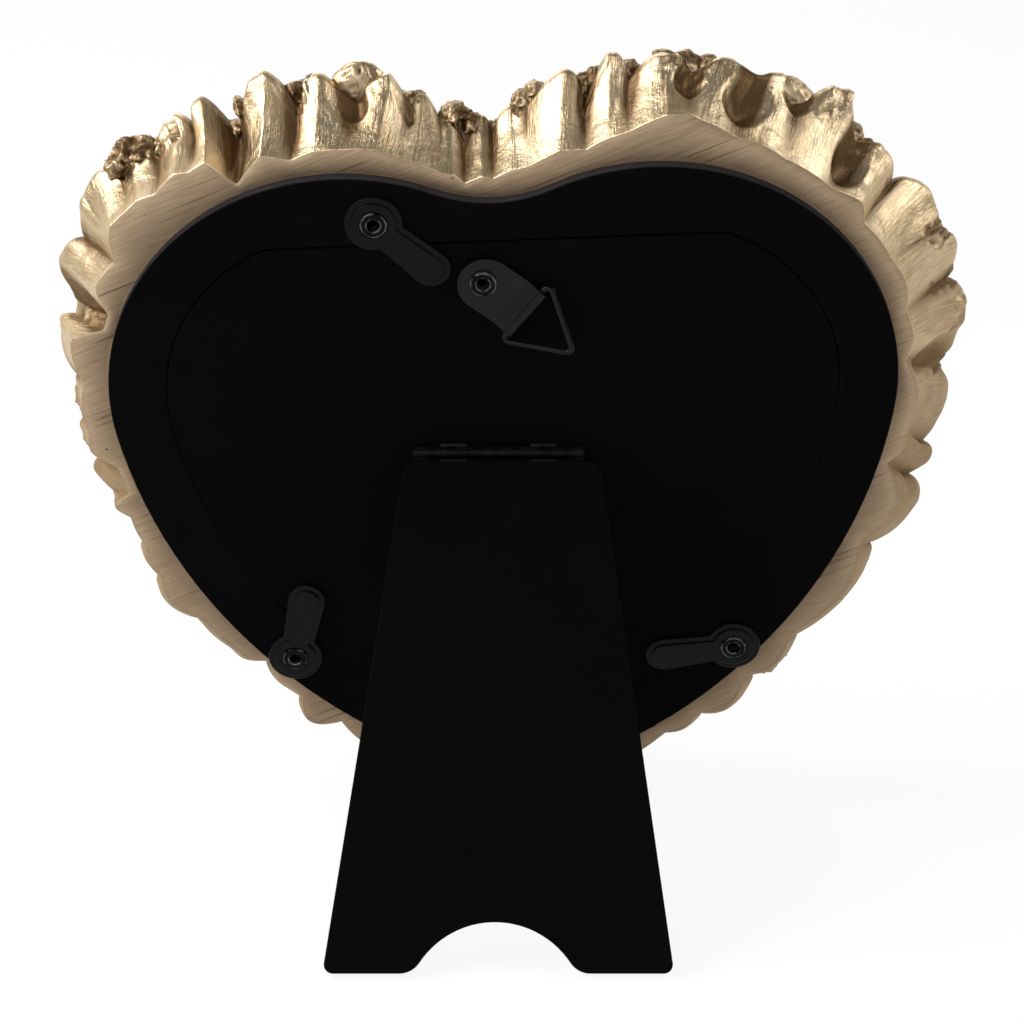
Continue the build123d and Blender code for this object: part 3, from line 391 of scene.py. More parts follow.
# paint: the first attribute is the brown in folds and hollows, partly wash left on there and partly painted
# shade, and on the band next to the board edge a painted shade and painted reflection of the board; the
# second is how matt the gold is, and also a painted shade that darkens the lower half
# brown in the folds, most at the top of the wall and on the upper walls, where the wall sinks below its
# neighbours, in scoops and in crumples: partly wash left on there and partly painted shade
blurred = sum(np.roll(wall_reach, shift, axis=0) for shift in range(-20, 21, 5)) / 9
fold_wash_and_shade = (1 - weight) ** 1.4 * (0.25 + 0.75 * high) * (0.35 + 0.65 * lift)
sunk = 0.9 * fold_wash_and_shade + 0.4 * np.clip((blurred - wall_reach) / 2.0, 0.0, 1.0) + 0.2 * spooned * high
for at, wide, amount in brown_zones:
    near = np.clip(1.6 - 1.6 * np.abs(wall_turn - at) / wide, 0.0, 1.0)
    sunk = sunk + amount * near * (0.5 + 0.5 * high)
sunk = np.clip(sunk + crumpled * (0.4 - 0.4 * creased), 0.0, 1.0)
# brown on the bed under the roses and inside the window: partly wash, partly painted shade
body_wash = np.full(radius.shape, 0.9)
body_wash[:, :first_wall] = 0.0
# next to the board edge the band is darkened: painted shade and painted reflection of the black board
body_wash[:, first_wall - 4:first_wall] = (1.0, 0.85, 0.3, 0.0)
body_wash[:, first_wall:first_wall + wall.shape[1]] = sunk
# the rim darkens as it rolls over under its lip: partly wash, partly painted shade
body_wash[:, first_wall + wall.shape[1]:last_wall] = sunk[:, -1:] + np.linspace(0.0, 0.5, rim.shape[1])
# matter on the lower half of the heart, which also darkens it there as painted shade
body_dull = np.clip(1 - np.sin(bearing)[:, None] / 0.55, 0.0, 1.0) + 0 * radius
# the band darkens on the lower half: painted shade
body_dull[:, :first_wall] = np.clip(-1.4 * np.sin(bearing)[:, None], 0.0, 1.0)
resin_body = surface(
    "resin_body", body_points, True, True, (flow_u, flow_v), wash=body_wash, dull=body_dull
)
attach(resin_body, "frame")
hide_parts("resin_frame")


class Flow:
    """One output socket of a material. Operators between flows and numbers add Math nodes, and node()
    adds any other node."""

    def __init__(self, tree, socket=None):
        self.tree, self.socket = tree, socket

    def node(self, kind, settings, values, out=0):
        """New node of a kind, with its settings and the values or flows of its inputs."""
        made = self.tree.nodes.new("ShaderNode" + kind)
        for key, value in settings.items():
            setattr(made, key, value)
        for key, value in values.items():
            if isinstance(value, Flow):
                self.tree.links.new(value.socket, made.inputs[key])
            else:
                made.inputs[key].default_value = value
        return Flow(self.tree, made.outputs[out])

    def maths(self, operation, first, second=0.0):
        """Math node between two flows or numbers."""
        return self.node("Math", {"operation": operation}, {0: first, 1: second})

    def __add__(self, other):
        return self.maths("ADD", self, other)

    __radd__ = __add__

    def __sub__(self, other):
        return self.maths("SUBTRACT", self, other)

    def __rsub__(self, other):
        return self.maths("SUBTRACT", other, self)

    def __mul__(self, other):
        return self.maths("MULTIPLY", self, other)

    __rmul__ = __mul__

    def clip(self, low, high):
        """0 below low, 1 above high and even in between."""
        return self.node("MapRange", {"clamp": True}, {"Value": self, "From Min": low, "From Max": high})

    def mix(self, first, second):
        """Colour that goes from first to second as this value goes from 0 to 1."""
        return self.node("Mix", {"data_type": "RGBA"}, {"Factor": self, 6: first, 7: second}, 2)

    def noise(self, place, scale, detail, rough):
        """Cloudy noise between 0 and 1, about 0.5."""
        values = {"Vector": place, "Scale": scale, "Detail": detail, "Roughness": rough}
        return self.node("TexNoise", {}, values)

    def stretched(self, place, scale, detail, rough):
        """The same noise drawn out along one direction of the UV map."""
        drawn = self.node("Mapping", {}, {"Vector": place, "Scale": scale})
        return self.noise(drawn, 1.0, detail, rough)

    def along(self, place, direction):
        """Length of a place along a direction."""
        values = {0: place, 1: tuple(direction)}
        return self.node("VectorMath", {"operation": "DOT_PRODUCT"}, values, "Value")


def material(name):
    """New material, the start of its flow and its main shader."""
    made = bpy.data.materials.new(name)
    made.use_nodes = True
    return made, Flow(made.node_tree), made.node_tree.nodes["Principled BSDF"]


def feed(flow, shader, values):
    """Links flows to the shader's sockets, and sets plain values on them."""
    for key, value in values.items():
        if isinstance(value, Flow):
            flow.tree.links.new(value.socket, shader.inputs[key])
        else:
            shader.inputs[key].default_value = value


# gold paint: dry brushed streaks along and across the flutes, brown in the folds that is partly wash left
# on and partly painted shade, fine grain
gold_paint, flow, shader = material("gold_paint")
place = flow.node("TexCoord", {}, {}, "Object")
along = flow.node("UVMap", {"uv_map": "flow"}, {})
wash = flow.node("Attribute", {"attribute_name": "wash"}, {}, "Fac")
dull = flow.node("Attribute", {"attribute_name": "dull"}, {}, "Fac")
streaks = flow.stretched(along, (11.0, 0.9, 1.0), 5.0, 0.65)
bristle = flow.stretched(along, (27.0, 2.0, 1.0), 3.0, 0.6)
strokes = flow.stretched(along, (1.6, 22.0, 1.0), 4.0, 0.6)
patches = flow.noise(place, 90.0, 5.0, 0.6)
grain = flow.noise(place, 1700.0, 3.0, 0.6)
dents = flow.noise(place, 420.0, 3.0, 0.6)
dots = flow.node("TexVoronoi", {}, {"Vector": place, "Scale": 260.0}, "Distance")
pits = (1 - dots.clip(0.05, 0.13)) * patches.clip(0.56, 0.62)
brushed = (streaks * 0.3 + bristle * 0.4 + strokes * 0.1 + patches * 0.2).clip(0.38, 0.62)
combed = 1 - dull * 0.7
brush_marks = (streaks - 0.5) * 0.8 + (bristle - 0.5) * 1.2
hollow = (wash + (patches - 0.5) * 0.5 + brush_marks * combed).clip(0.16, 0.85)
gold = brushed.mix((0.37, 0.235, 0.100, 1), (0.88, 0.72, 0.48, 1))
# brown in folds and hollows: partly wash left on there, partly painted shade
gold = hollow.mix(gold, (0.115, 0.064, 0.026, 1))
# darker and browner on the lower half of the heart: painted shade
gold = (dull * 0.85).mix(gold, (0.215, 0.132, 0.060, 1))
gold = pits.mix(gold, (0.04, 0.024, 0.012, 1))
ridges = streaks * 0.5 + bristle * 0.35 + strokes * 0.25
height = ridges * combed + grain * 0.25 + dents * 1.1 + patches * 0.5 - pits * 0.8
bump = flow.node("Bump", {}, {"Height": height, "Strength": 0.6, "Distance": 0.0004})
feed(flow, shader, {
    "Base Color": gold,
    "Metallic": (0.97 - hollow * 0.25) * (1 - dull * 0.5),
    "Roughness": 0.28 + hollow * 0.15 + dull * 0.24,
    "Coat Weight": (0.7 - hollow * 0.6) * (1 - dull),
    "Coat Roughness": 0.28,
    "Specular IOR Level": 0.3,
    "Specular Tint": (1.0, 0.84, 0.60, 1),
    "Normal": bump,
})

# sanded band: the same casting rubbed flat on a belt, so thinner paint, scratches one way and pits
sanded_band, flow, shader = material("sanded_band")
place = flow.node("TexCoord", {}, {}, "Object")
belt = np.radians(24.0)
length = flow.along(place, across_back * np.cos(belt) + up_back * np.sin(belt))
width = flow.along(place, up_back * np.cos(belt) - across_back * np.sin(belt))
scratch = flow.noise(flow.node("CombineXYZ", {}, {"X": length * 110.0, "Y": width * 2600.0}), 1.0, 4.0, 0.6)
score = flow.noise(flow.node("CombineXYZ", {}, {"X": length * 16.0, "Y": width * 1900.0}), 1.0, 3.0, 0.6)
broad = flow.noise(place, 60.0, 3.0, 0.5)
dots = flow.node("TexVoronoi", {}, {"Vector": place, "Scale": 420.0}, "Distance")
spotted = flow.noise(place, 160.0, 2.0, 0.5)
board_edge_shade = flow.node("Attribute", {"attribute_name": "wash"}, {}, "Fac")
pits = (1 - dots.clip(0.06, 0.16)) * spotted.clip(0.60, 0.66)
marks = (score + board_edge_shade * 0.06).clip(0.66, 0.72)
tan = (scratch * 0.75 + broad * 0.25).clip(0.38, 0.60)
tone = tan.mix((0.33, 0.226, 0.132, 1), (0.47, 0.345, 0.218, 1))
# darker next to the board edge: painted shade and painted reflection of the board
tone = (board_edge_shade * broad).clip(0.1, 0.9).mix(tone, (0.12, 0.076, 0.040, 1))
dull = flow.node("Attribute", {"attribute_name": "dull"}, {}, "Fac")
# darker on the lower half of the heart: painted shade
tone = (dull * 0.4).mix(tone, (0.13, 0.080, 0.040, 1))
tone = (marks * 0.8).mix(tone, (0.065, 0.040, 0.019, 1))
tone = pits.mix(tone, (0.05, 0.03, 0.014, 1))
bump = flow.node("Bump", {}, {"Height": scratch * 0.5 - pits - marks, "Strength": 0.35, "Distance": 0.0003})
feed(flow, shader, {"Base Color": tone, "Metallic": 0.5, "Roughness": 0.5 + tan * 0.1, "Normal": bump})

# bare resin: the rabbet and the glued ring seat are left unpainted, and their near black is painted shade,
# as they show only in the dark gap between the boards
bare_resin_shade, flow, shader = material("bare_resin_shade")
place = flow.node("TexCoord", {}, {}, "Object")
chalk = flow.noise(place, 300.0, 4.0, 0.6)
tone = chalk.clip(0.3, 0.7).mix((0.008, 0.007, 0.006, 1), (0.018, 0.015, 0.012, 1))
feed(flow, shader, {"Base Color": tone, "Roughness": 0.85 + chalk * 0.1, "Specular IOR Level": 0.1})

resin_body.data.materials.append(gold_paint)
resin_body.data.materials.append(sanded_band)
resin_body.data.materials.append(bare_resin_shade)
# 0 is gold paint, 1 the sanded band and 2 bare resin in painted shade
kinds = np.zeros((columns, section.shape[1]), dtype=np.int32)
kinds[:, :rabbet.shape[1] + 1] = 2
kinds[:, rabbet.shape[1] + 1:first_wall - 1] = 1
resin_body.data.polygons.foreach_set("material_index", kinds.ravel())

# Crumpled flower backs. Where the walls end, the backs of the flowers stand up behind the rim as
# clumps of rough, creased resin, brown in the creases, partly wash left on and partly painted shade. They
# are cast with the body.

# bearing, reach over the board edge, depth, half width, half height and crumple of each clump
clumps = np.array([
    (109.3, 12.2, 17.5, 5.9, 5.6, 0.22), (138.6, 12.4, 16.5, 3.4, 3.6, 1.0),
    (141.4, 14.0, 16.0, 2.8, 3.0, 1.2), (140.0, 14.6, 17.5, 3.0, 3.0, 1.2),
    (118.4, 10.4, 17.0, 3.2, 2.8, 1.2), (115.8, 11.4, 18.0, 2.6, 2.4, 1.2),
    (124.8, 10.4, 16.5, 1.2, 2.8, 1.0), (127.6, 6.6, 16.0, 2.6, 2.0, 1.0),
    (133.2, 11.8, 16.0, 1.9, 2.0, 0.8), (136.0, 10.8, 16.5, 2.4, 2.4, 1.0),
    (102.0, 11.2, 17.0, 2.2, 2.0, 1.0), (96.2, 10.0, 17.0, 2.8, 2.2, 1.0),
    (93.8, 8.8, 16.5, 2.4, 2.0, 1.0), (91.0, 6.8, 16.5, 3.0, 1.8, 1.0),
    (88.2, 6.6, 16.5, 2.6, 2.0, 1.0), (84.6, 12.4, 17.0, 2.6, 2.4, 0.9),
    (82.8, 13.8, 17.5, 2.2, 2.0, 0.9), (75.4, 11.6, 17.0, 2.6, 2.8, 1.0),
    (73.9, 12.8, 17.5, 2.2, 2.4, 1.0), (69.8, 12.8, 17.5, 2.6, 2.4, 1.0),
    (65.2, 14.6, 18.0, 3.4, 2.2, 0.8), (62.2, 13.8, 18.0, 4.0, 2.6, 0.9),
    (59.8, 14.4, 17.5, 3.0, 2.0, 0.8), (48.6, 13.4, 17.5, 5.4, 2.8, 0.3),
    (40.0, 12.6, 16.0, 2.2, 2.2, 0.8), (42.0, 13.2, 16.5, 2.2, 2.2, 0.9),
])
middle, reach, deep, wide, tall_half, crumple = clumps.T[:, :, None, None]
half_deep = 3.6
spin_steps = 60
dip_steps = 36
spin = np.linspace(0.0, 2 * np.pi, spin_steps, endpoint=False)[None, :, None]
dip = np.radians(np.linspace(-90.0, 90.0, dip_steps))[None, None, :]
swing = np.radians(middle)
away = np.cos(dip) * np.cos(spin)
away = np.where(away < 0, 2.0 * away, away)
aside = np.cos(dip) * np.sin(spin)
front = np.sin(dip) + 0 * spin
middle_x = (board_reach(swing) + reach) * np.cos(swing)
middle_y = (board_reach(swing) + reach) * np.sin(swing)
off_x = tall_half * away * np.cos(swing) - wide * aside * np.sin(swing)
off_y = tall_half * away * np.sin(swing) + wide * aside * np.cos(swing)
off_deep = half_deep * front
place = np.stack(np.broadcast_arrays(middle_x + off_x, middle_y + off_y, deep + off_deep), axis=-1)
creased = creases(place)
swell = 1 + 0.22 * crumple * creased
clump_points = on_heart(middle_x + swell * off_x, middle_y + swell * off_y, -(deep + swell * off_deep))
clump_flow = (np.linspace(0.0, 2.4, spin_steps + 1), np.linspace(0.0, 1.2, dip_steps))
# darker in the creases of the clumps: partly wash, partly painted shade
flower_backs = surface(
    "flower_backs", np.clip(clump_points, cad_box[0], cad_box[1]), True, False, clump_flow,
    wash=np.clip(0.4 + 0.5 * crumple - 0.4 * creased, 0.0, 1.0),
)
weld(flower_backs)
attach(flower_backs, "frame")
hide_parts("resin_frame")
flower_backs.data.materials.append(gold_paint)

# Roses. Seventeen open roses are cast on the front, edge to edge round the window.
# Each is four rings of cupped petals, 0.8 mm thick, about a closed bud.
flower_line = 4.5
flower_count = 17
dense = np.radians(np.linspace(90.0, 450.0, 3601))
line = board_reach(dense) - flower_line
path = np.stack([line * np.cos(dense), line * np.sin(dense)], axis=-1)
walked = np.insert(np.cumsum(np.linalg.norm(np.diff(path, axis=0), axis=-1)), 0, 0.0)
goal = np.arange(flower_count) * walked[-1] / flower_count
seats = np.stack([np.interp(goal, walked, path[:, axis]) for axis in (0, 1)], axis=-1)
outward = seats / np.linalg.norm(seats, axis=-1, keepdims=True)
seat_bearing = np.degrees(np.arctan2(seats[:, 1], seats[:, 0])) % 360
cleft_tuck = 4.0 * np.exp(-(((seat_bearing - 90) / 9) ** 2))
notch_tuck = 3.0 * np.exp(-(((seat_bearing - 130) / 9) ** 2))
seats = seats - outward * (1.5 + cleft_tuck + notch_tuck)[:, None]
seat_depth = 18.0
box_gap = 0.0006
inner_box = np.array(cad_box) + box_gap * np.array([[1.0], [-1.0]])
lean_out = np.radians(10.0)
flower_size = seeds.uniform(0.95, 1.03, flower_count)
flower_turn = np.radians(29.0) * np.arange(flower_count)


def seated(x, y, z):
    """Flower points x, y and z, shaped (flower, ...), put on their seats: turned by the flower's own
    turn, leant outwards, and placed on the front of the casting."""
    shape = (flower_count,) + (1,) * (x.ndim - 1)
    turn, size = flower_turn.reshape(shape), flower_size.reshape(shape)
    x, y, z = size * x, size * y, size * z
    away = x * np.cos(turn) - y * np.sin(turn)
    aside = x * np.sin(turn) + y * np.cos(turn)
    rise = z * np.cos(lean_out) - away * np.sin(lean_out)
    away = away * np.cos(lean_out) + z * np.sin(lean_out)
    out_x, out_y = outward[:, 0].reshape(shape), outward[:, 1].reshape(shape)
    heart_xs = seats[:, 0].reshape(shape) + away * out_x - aside * out_y
    heart_ys = seats[:, 1].reshape(shape) + away * out_y + aside * out_x
    return np.clip(on_heart(heart_xs, heart_ys, -(seat_depth + rise)), inner_box[0], inner_box[1])


# petal rings: number, root radius, edge radius, root height, edge height, half angle
rings = [
    (3, 1.6, 3.4, 2.0, 9.6, 88.0), (5, 2.8, 6.2, 1.0, 9.0, 58.0), (5, 4.4, 10.4, 0.0, 7.4, 52.0),
    (7, 6.5, 15.6, -1.5, 4.6, 38.0),
]
petal_across = 11
petal_along = 9
petal_thickness = 0.0008
side = np.linspace(-1.0, 1.0, petal_across)[:, None]
up = np.linspace(0.0, 1.0, petal_along)[None, :]
petal_points, petal_wash = [], []
for order, (count, root, edge, low, top, half_angle) in enumerate(rings):
    # one draw for each flower is passed over, so that the waves below keep their numbers
    seeds.uniform(size=flower_count)
    wave = seeds.uniform(-1.0, 1.0, (flower_count, count, 1, 1))
    middle = 2 * np.pi * (np.arange(count) / count + 0.21 * order).reshape(1, count, 1, 1) + 0.12 * wave
    climb = up * (1 - 0.24 * np.abs(side) ** 3)
    fold_back = np.clip((climb - 0.72) / 0.28, 0.0, 1.0) ** 2
    angle = middle + np.radians(half_angle) * side * (0.62 + 0.38 * np.sin(0.5 * np.pi * climb))
    ripple = 0.3 * np.sin(4.0 * side + 3 * wave) * climb
    reach = root + (edge - root) * climb**1.25 + 0.55 * side + 0.8 * fold_back + ripple
    rise = low + (top - low) * np.sin(0.5 * np.pi * climb) ** 0.8 - 1.1 * fold_back + 0.5 * wave * climb
    shape = (flower_count, count, petal_across, petal_along)
    angle, reach, rise = (np.broadcast_to(value, shape) for value in (angle, reach, rise))
    petal_points.append(seated(reach * np.cos(angle), reach * np.sin(angle), rise))
    # darker towards the petal roots and on the inner ring, deep in the rose: partly wash, partly painted
    # shade
    petal_wash.append(np.broadcast_to(0.75 - 0.75 * climb + 0.12 * (order == 0), shape))
petal_flow = (np.linspace(0.0, 2.0, petal_across), np.linspace(0.0, 1.2, petal_along))
rose_petals = surface(
    "rose_petals", np.concatenate(petal_points, axis=1), False, False, petal_flow,
    wash=np.concatenate(petal_wash, axis=1),
)
thick = rose_petals.modifiers.new("thickness", "SOLIDIFY")
thick.thickness, thick.offset = petal_thickness, 0.0
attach(rose_petals, "frame")
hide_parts("resin_frame")
rose_petals.data.materials.append(gold_paint)

# buds: a closed bud with a twist in it stands in the middle of each rose
bud_across = 24
bud_along = 14
bud_half = 2.9
bud_height = 9.0
spin = np.linspace(0.0, 2 * np.pi, bud_across, endpoint=False)[None, :, None]
climb = np.linspace(0.0, 1.0, bud_along)[None, None, :]
twist = 1 + 0.16 * np.cos(2 * spin + 5.5 * climb)
bud_reach = bud_half * np.sqrt(np.clip(1 - climb**2.6, 0.0, 1.0)) * twist + 0 * flower_turn[:, None, None]
bud_rise = 0.5 + bud_height * climb - 0.6 * (1 - climb) + 0 * bud_reach
bud_flow = (np.linspace(0.0, 1.8, bud_across + 1), np.linspace(0.0, 0.9, bud_along))
bud_points = seated(bud_reach * np.cos(spin), bud_reach * np.sin(spin), bud_rise)
# darker towards the foot of each bud, down among the petals: partly wash, partly painted shade
rose_buds = surface(
    "rose_buds", bud_points, True, False, bud_flow,
    wash=np.broadcast_to(0.45 - 0.3 * climb, bud_reach.shape),
)
weld(rose_buds)
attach(rose_buds, "frame")
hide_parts("resin_frame")
rose_buds.data.materials.append(gold_paint)

# Leaves. Two pointed leaves fill each gap between the roses, one outwards and one to the window.
# They are cast with the body; each has a sunk midrib, side veins and a drooping tip.
half_way = np.stack([np.interp(goal + 0.5 * goal[1], walked, path[:, axis]) for axis in (0, 1)], axis=-1)
leaf_out = half_way / np.linalg.norm(half_way, axis=-1, keepdims=True)
leaf_across = 13
leaf_along = 19
leaf_half = 4.6
leaf_thickness = 0.001
side = np.linspace(-1.0, 1.0, leaf_across)[:, None]
along = np.linspace(0.0, 1.0, leaf_along)[None, :]
width = leaf_half * np.sin(np.pi * along**0.75) ** 0.85 + 0.15
leaf_points, leaf_wash = [], []
for way, start, length, low in ((1.0, 1.5, 11.5, 20.0), (-1.0, 3.5, 11.0, 20.0)):
    go = way * (start + length * along + 0 * side)
    over = width * side + 0.6 * np.sin(2.5 * along)
    veins = 0.25 * np.cos(14 * along - 6 * np.abs(side))
    high = low + 2.6 * np.sin(np.pi * along) - 2.2 * along**2 + 1.1 * np.abs(side) ** 0.7 + veins
    out_x, out_y = leaf_out[:, 0, None, None], leaf_out[:, 1, None, None]
    xs = half_way[:, 0, None, None] + go * out_x - over * out_y
    ys = half_way[:, 1, None, None] + go * out_y + over * out_x
    leaf_points.append(np.clip(on_heart(xs, ys, -high + 0 * xs), inner_box[0], inner_box[1]))
    # darker along the sunk midrib: partly wash, partly painted shade
    leaf_wash.append(np.broadcast_to(0.7 - 0.6 * np.abs(side) ** 0.6 + 0 * along, xs.shape))
leaf_flow = (np.linspace(0.0, 0.9, leaf_across), np.linspace(0.0, 1.1, leaf_along))
leaves = surface(
    "leaves", np.concatenate(leaf_points), False, False, leaf_flow, wash=np.concatenate(leaf_wash)
)
thick = leaves.modifiers.new("thickness", "SOLIDIFY")
thick.thickness, thick.offset = leaf_thickness, 0.0
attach(leaves, "frame")
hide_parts("resin_frame")
leaves.data.materials.append(gold_paint)

# Glass pane. Plain float glass 2 mm thick, cut to the panel's outline.
# It lies in the rabbet behind the window, held by the sheet, the card and the panel.


def dress(nodes, made):
    """Puts a material on CAD nodes."""
    for name in nodes:
        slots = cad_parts[name].data.materials
        slots.clear()
        slots.append(made)


clear_glass, flow, _ = material("clear_glass")
place = flow.node("TexCoord", {}, {}, "Object")
smear = flow.noise(place, 40.0, 3.0, 0.5)
through = flow.node("BsdfTransparent", {}, {"Color": (0.96, 0.98, 0.97, 1)})
shine = flow.node("BsdfGlossy", {}, {"Color": (1, 1, 1, 1), "Roughness": 0.03})
edge_on = flow.node("Fresnel", {}, {"IOR": 1.45})
pane = flow.node("MixShader", {}, {0: edge_on + smear * 0.03, 1: through, 2: shine})
flow.tree.links.new(pane.socket, flow.tree.nodes["Material Output"].inputs["Surface"])
dress(["glass_pane"], clear_glass)

# Photo sheet. The plain paper that stands where the photo goes, off white with a faint fibre.
# It is cut to the glass and pressed on it by the filler card.
plain_paper, flow, shader = material("plain_paper")
place = flow.node("TexCoord", {}, {}, "Object")
fibre = flow.noise(place, 900.0, 4.0, 0.6)
cloud = flow.noise(place, 25.0, 2.0, 0.5)
tone = (fibre * 0.5 + cloud * 0.5).clip(0.3, 0.7).mix((0.70, 0.68, 0.63, 1), (0.80, 0.78, 0.74, 1))
feed(flow, shader, {"Base Color": tone, "Roughness": 0.75})
dress(["photo_sheet"], plain_paper)

# Filler card, ring board, panel board and leg board. Grey chipboard die cut to shape; only its
# cut edges show, grey brown with pressed fibres.
grey_board, flow, shader = material("grey_board")
place = flow.node("TexCoord", {}, {}, "Object")
fibre = flow.noise(place, 700.0, 4.0, 0.6)
layers = flow.noise(place, 160.0, 3.0, 0.6)
tone = (fibre * 0.6 + layers * 0.4).clip(0.3, 0.7).mix((0.075, 0.068, 0.068, 1), (0.150, 0.138, 0.136, 1))
bump = flow.node("Bump", {}, {"Height": fibre, "Strength": 0.4, "Distance": 0.0002})
feed(flow, shader, {"Base Color": tone, "Roughness": 0.85, "Normal": bump})
dress(["filler_card", "ring_board", "panel_board", "leg_board"], grey_board)

# Ring velvet, panel velvet and leg velvet. Black flocked paper glued on the boards, near black,
# with a short pile, faint wear marks and a little white lint.
# The ring's turned down edge is painted grey, a painted sheen for the pile seen edge on.
for name, nodes, edge_sheen in (
    ("edged_velvet", ["ring_velvet"], 1.0),
    ("black_velvet", ["panel_velvet", "leg_velvet"], 0.0),
):
    velvet, flow, shader = material(name)
    place = flow.node("TexCoord", {}, {}, "Object")
    pile = flow.noise(place, 1800.0, 2.0, 0.5)
    worn = flow.noise(place, 30.0, 4.0, 0.6)
    nearest = flow.node("TexVoronoi", {}, {"Vector": place, "Scale": 75.0}, "Distance")
    chance = flow.node("TexVoronoi", {}, {"Vector": place, "Scale": 75.0}, "Color")
    pick = flow.node("SeparateColor", {}, {"Color": chance}, 0)
    lint = (1 - nearest.clip(0.012, 0.024)) * pick.clip(0.80, 0.95)
    proud = flow.along(place, out_back) - 0.001 * float(heart_spot @ out_back)
    fuzz = flow.noise(place, 700.0, 3.0, 0.6)
    # painted sheen: a grey band on the ring's turned down edge
    edge = (1 - proud.clip(0.0022, 0.0028)) * (0.4 + fuzz * 1.2) * edge_sheen
    nap = (pile * 0.5 + worn * 0.5).clip(0.3, 0.7)
    tone = nap.mix((0.0014, 0.0015, 0.0016, 1), (0.0030, 0.0031, 0.0031, 1))
    tone = edge.clip(0.0, 1.0).mix(tone, (0.030, 0.025, 0.026, 1))
    tone = lint.mix(tone, (0.22, 0.23, 0.21, 1))
    bump = flow.node("Bump", {}, {"Height": pile, "Strength": 0.5, "Distance": 0.0002})
    feed(flow, shader, {
        "Base Color": tone,
        "Roughness": 0.95,
        "Specular IOR Level": 0.03,
        "Sheen Weight": 0.008,
        "Sheen Roughness": 0.4,
        "Normal": bump,
    })
    dress(nodes, velvet)

# Turn buttons, hanger strap and hanger ring. Stamped or bent mild steel, sprayed satin black.
# The buttons and the strap turn on their eyelets, and the ring hangs in the strap's fold.
for name, nodes, shine in (
    ("button_steel", ["button_top", "button_left", "button_right"], 0.10),
    ("strap_steel", ["hanger_strap", "hanger_ring"], 0.19),
):
    steel, flow, shader = material(name)
    place = flow.node("TexCoord", {}, {}, "Object")
    peel = flow.noise(place, 1500.0, 2.0, 0.5)
    rub = flow.noise(place, 120.0, 4.0, 0.6)
    tone = rub.clip(0.35, 0.7).mix((0.0016, 0.0016, 0.0018, 1), (0.0034, 0.0034, 0.0037, 1))
    bump = flow.node("Bump", {}, {"Height": peel, "Strength": 0.25, "Distance": 0.0001})
    feed(flow, shader, {
        "Base Color": tone,
        "Roughness": 0.24 + rub * 0.14,
        "Specular IOR Level": shine,
        "Normal": bump,
    })
    dress(nodes, steel)

# Eyelets and rivets. Drawn steel tube rivets, blackened, set through the boards.
# The two lips of each eyelet are painted as light rings, a painted glint for their highlights.
lip_radii = (0.00145, 0.00265)
eyelet_axes = 0.001 * np.array([
    (25.620, 42.341, 149.122), (45.834, 23.515, 42.355), (-51.883, 24.045, 45.365),
    (3.350, 40.022, 135.973),
])
rivet_steel, flow, shader = material("rivet_steel")
place = flow.node("TexCoord", {}, {}, "Object")
rub = flow.noise(place, 500.0, 4.0, 0.6)
# painted glint: light rings at the radii of the two lips of each eyelet
painted_glint = 0.0
for axis_spot in eyelet_axes:
    arm = flow.node("VectorMath", {"operation": "SUBTRACT"}, {0: place, 1: tuple(axis_spot)})
    lever = flow.node("VectorMath", {"operation": "CROSS_PRODUCT"}, {0: arm, 1: tuple(out_back)})
    off_axis = flow.node("VectorMath", {"operation": "LENGTH"}, {0: lever}, "Value")
    for lip in lip_radii:
        painted_glint = painted_glint + (1 - flow.maths("ABSOLUTE", off_axis - lip).clip(0.00008, 0.00026))
tone = rub.clip(0.35, 0.7).mix((0.001, 0.001, 0.0011, 1), (0.004, 0.004, 0.0042, 1))
tone = (painted_glint * rub.clip(0.40, 0.60)).clip(0.0, 1.0).mix(tone, (0.13, 0.13, 0.135, 1))
feed(flow, shader, {
    "Base Color": tone,
    "Metallic": 0.5,
    "Roughness": 0.12 + rub * 0.1,
    "Specular IOR Level": 0.12,
})
dress(["button_eyelets", "hanger_eyelet", "panel_leaf_rivets", "leg_leaf_rivets"], rivet_steel)

# Hinge leaves and pin. Thin steel leaves rolled round a wire pin, lacquered black and shiny.
# One leaf is riveted to the panel and the other to the leg.
hinge_steel, flow, shader = material("hinge_steel")
place = flow.node("TexCoord", {}, {}, "Object")
rub = flow.noise(place, 260.0, 4.0, 0.6)
tone = rub.clip(0.4, 0.75).mix((0.002, 0.002, 0.0022, 1), (0.010, 0.010, 0.010, 1))
feed(flow, shader, {
    "Base Color": tone,
    "Metallic": 0.2,
    "Roughness": 0.2 + rub * 0.14,
    "Specular IOR Level": 0.08,
})
dress(["panel_leaf", "leg_leaf", "hinge_pin"], hinge_steel)

# Camera and studio light, as in the product photograph: a long lens from behind and above,
# soft light from a large box overhead and pale walls all round.
camera_away = 0.620
camera_right = 0.00257
camera_down = 0.01283
sensor = 36.0
focal_pixels = 2900.0
picture_pixels = 1024.0
tilt = np.radians(23.0)
ahead = np.array([0.0, -np.cos(tilt), -np.sin(tilt)])
above = np.array([0.0, -np.sin(tilt), np.cos(tilt)])
right = np.array([-1.0, 0.0, 0.0])
aim = 0.001 * (hinge_spot + 2.9 * out_back)
lens = bpy.data.cameras.new("camera")
lens.sensor_width, lens.lens = sensor, sensor * focal_pixels / picture_pixels
lens.clip_end = 20.0
camera = bpy.data.objects.new("camera", lens)
stand = aim - camera_away * ahead + camera_right * right - camera_down * above
pose = np.eye(4)
pose[:3, :4] = np.stack([right, above, -ahead, stand], axis=1)
camera.matrix_world = Matrix(pose.tolist())
bpy.context.scene.collection.objects.link(camera)
bpy.context.scene.camera = camera
bpy.context.scene.view_settings.view_transform = "Standard"


